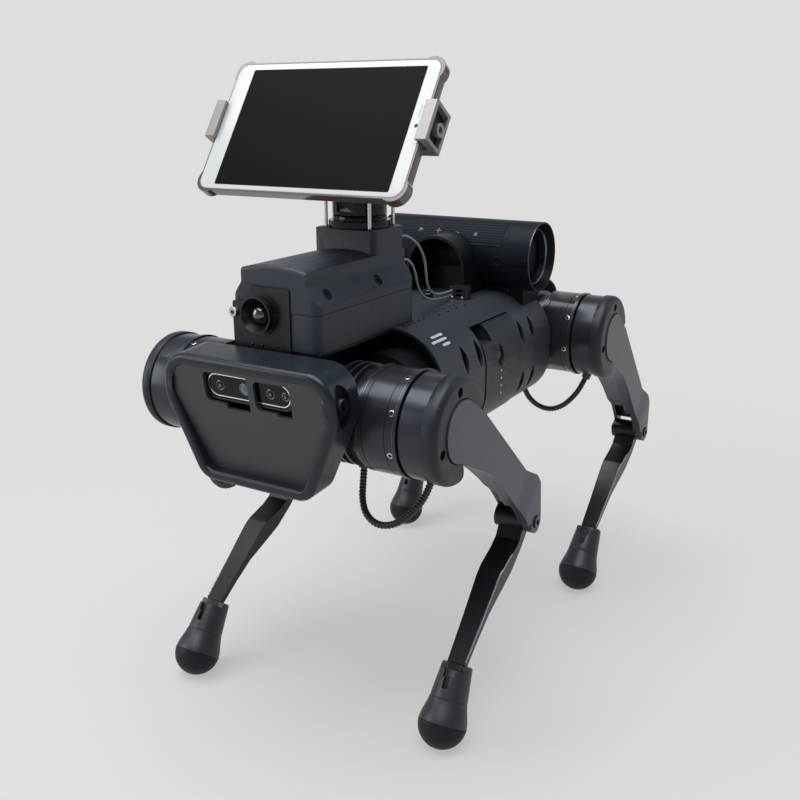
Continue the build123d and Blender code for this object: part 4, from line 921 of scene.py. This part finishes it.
# ---- stage ----------------------------------------------------------------------------------------
BACKDROP = (0.73, 0.73, 0.73)
ROOM = (0.22, 0.25, 0.29)
HORIZON_LOW, HORIZON_HIGH = -0.14, 0.1  # everything below the horizon is as pale as the backdrop
BACKDROP_AXIS = (-0.819, -0.49, -0.298)  # the middle of the pale backdrop, as a direction from the object
BACKDROP_EDGE, ROOM_EDGE = 0.835, 0.62  # cosines of the backdrop's clean edge and of where it has faded out
FLOOR_REACH = 2.0
FLOOR_NEAR, FLOOR_FAR = 0.25, 1.15  # the floor fades into the backdrop between these distances
FLOOR_ALPHA = 0.42
FLOOR_DARK, FLOOR_LIGHT = (0.54, 0.54, 0.54), (0.55, 0.55, 0.55)
LAMP_TARGET = Vector((0.05, 0, 0.2))
LAMPS = (  # name, place, width, height and power
    ("top", (0.5, -0.2, 2.6), 2.8, 2.4, 95),
    ("side_box", (1.7, -1.9, 1.0), 1.3, 1.5, 22),
    ("rim_strip", (-1.6, 1.6, 1.3), 0.5, 1.4, 4),
)


def smooth_range(tree, source, low, high, out_low, out_high):
    """Maps a value smoothly from one range to another."""
    made = tree.nodes.new("ShaderNodeMapRange")
    made.interpolation_type = "SMOOTHSTEP"
    for index, value in enumerate((low, high, out_low, out_high), start=1):
        made.inputs[index].default_value = value
    tree.links.new(source, made.inputs[0])
    return made.outputs[0]


def studio_world():
    """A dim room with one pale backdrop, so that the lamps shape the highlights."""
    world = bpy.data.worlds.new("studio")
    world.use_nodes = True
    tree = world.node_tree
    direction = tree.nodes.new("ShaderNodeTexCoord").outputs["Generated"]
    along = tree.nodes.new("ShaderNodeVectorMath")
    along.operation = "DOT_PRODUCT"
    along.inputs[1].default_value = BACKDROP_AXIS
    tree.links.new(direction, along.inputs[0])
    split = tree.nodes.new("ShaderNodeSeparateXYZ")
    tree.links.new(direction, split.inputs[0])
    pale = tree.nodes.new("ShaderNodeMath")
    pale.operation = "MAXIMUM"
    ahead = smooth_range(tree, along.outputs["Value"], ROOM_EDGE, BACKDROP_EDGE, 0.0, 1.0)
    below = smooth_range(tree, split.outputs["Z"], HORIZON_LOW, HORIZON_HIGH, 1.0, 0.0)
    tree.links.new(ahead, pale.inputs[0])
    tree.links.new(below, pale.inputs[1])
    mix = tree.nodes.new("ShaderNodeMix")
    mix.data_type = "RGBA"
    mix.inputs[6].default_value = (*ROOM, 1)
    mix.inputs[7].default_value = (*BACKDROP, 1)
    tree.links.new(pale.outputs[0], mix.inputs[0])
    tree.links.new(mix.outputs[2], tree.nodes["Background"].inputs[0])
    bpy.context.scene.world = world


def fading_floor():
    """A pale floor that takes soft shadows and fades out away from the machine."""
    corners = [(-1, -1), (1, -1), (1, 1), (-1, 1)]
    mesh = bpy.data.meshes.new("floor")
    mesh.from_pydata([(x * FLOOR_REACH, y * FLOOR_REACH, 0) for x, y in corners], [], [(0, 1, 2, 3)])
    floor = bpy.data.objects.new("floor", mesh)
    bpy.context.scene.collection.objects.link(floor)
    s = Shader("floor", 0.9, Specular_IOR_Level=0.0)
    s.mix(s.noise(3.0), FLOOR_DARK, FLOOR_LIGHT)
    distance = s.node("ShaderNodeVectorMath", operation="LENGTH")
    s.link(s.coords, distance.inputs[0])
    alpha = smooth_range(s.tree, distance.outputs["Value"], FLOOR_NEAR, FLOOR_FAR, FLOOR_ALPHA, 0.0)
    s.link(alpha, s.bsdf.inputs["Alpha"])
    mesh.materials.append(s.material)


def add_lamp(name, where, width, height, power):
    """A rectangular lamp aimed at the machine."""
    data = bpy.data.lights.new(name, "AREA")
    data.shape = "RECTANGLE"
    data.size, data.size_y = width, height
    data.energy = power
    lamp = bpy.data.objects.new(name, data)
    bpy.context.scene.collection.objects.link(lamp)
    lamp.location = where
    lamp.rotation_euler = (LAMP_TARGET - Vector(where)).to_track_quat("-Z", "Y").to_euler()


def add_stage():
    bpy.context.scene.view_settings.view_transform = "Standard"
    studio_world()
    fading_floor()
    for lamp in LAMPS:
        add_lamp(*lamp)


add_camera()
add_leg_cables()
add_wires()
dress_nodes()
add_details()
add_stage()
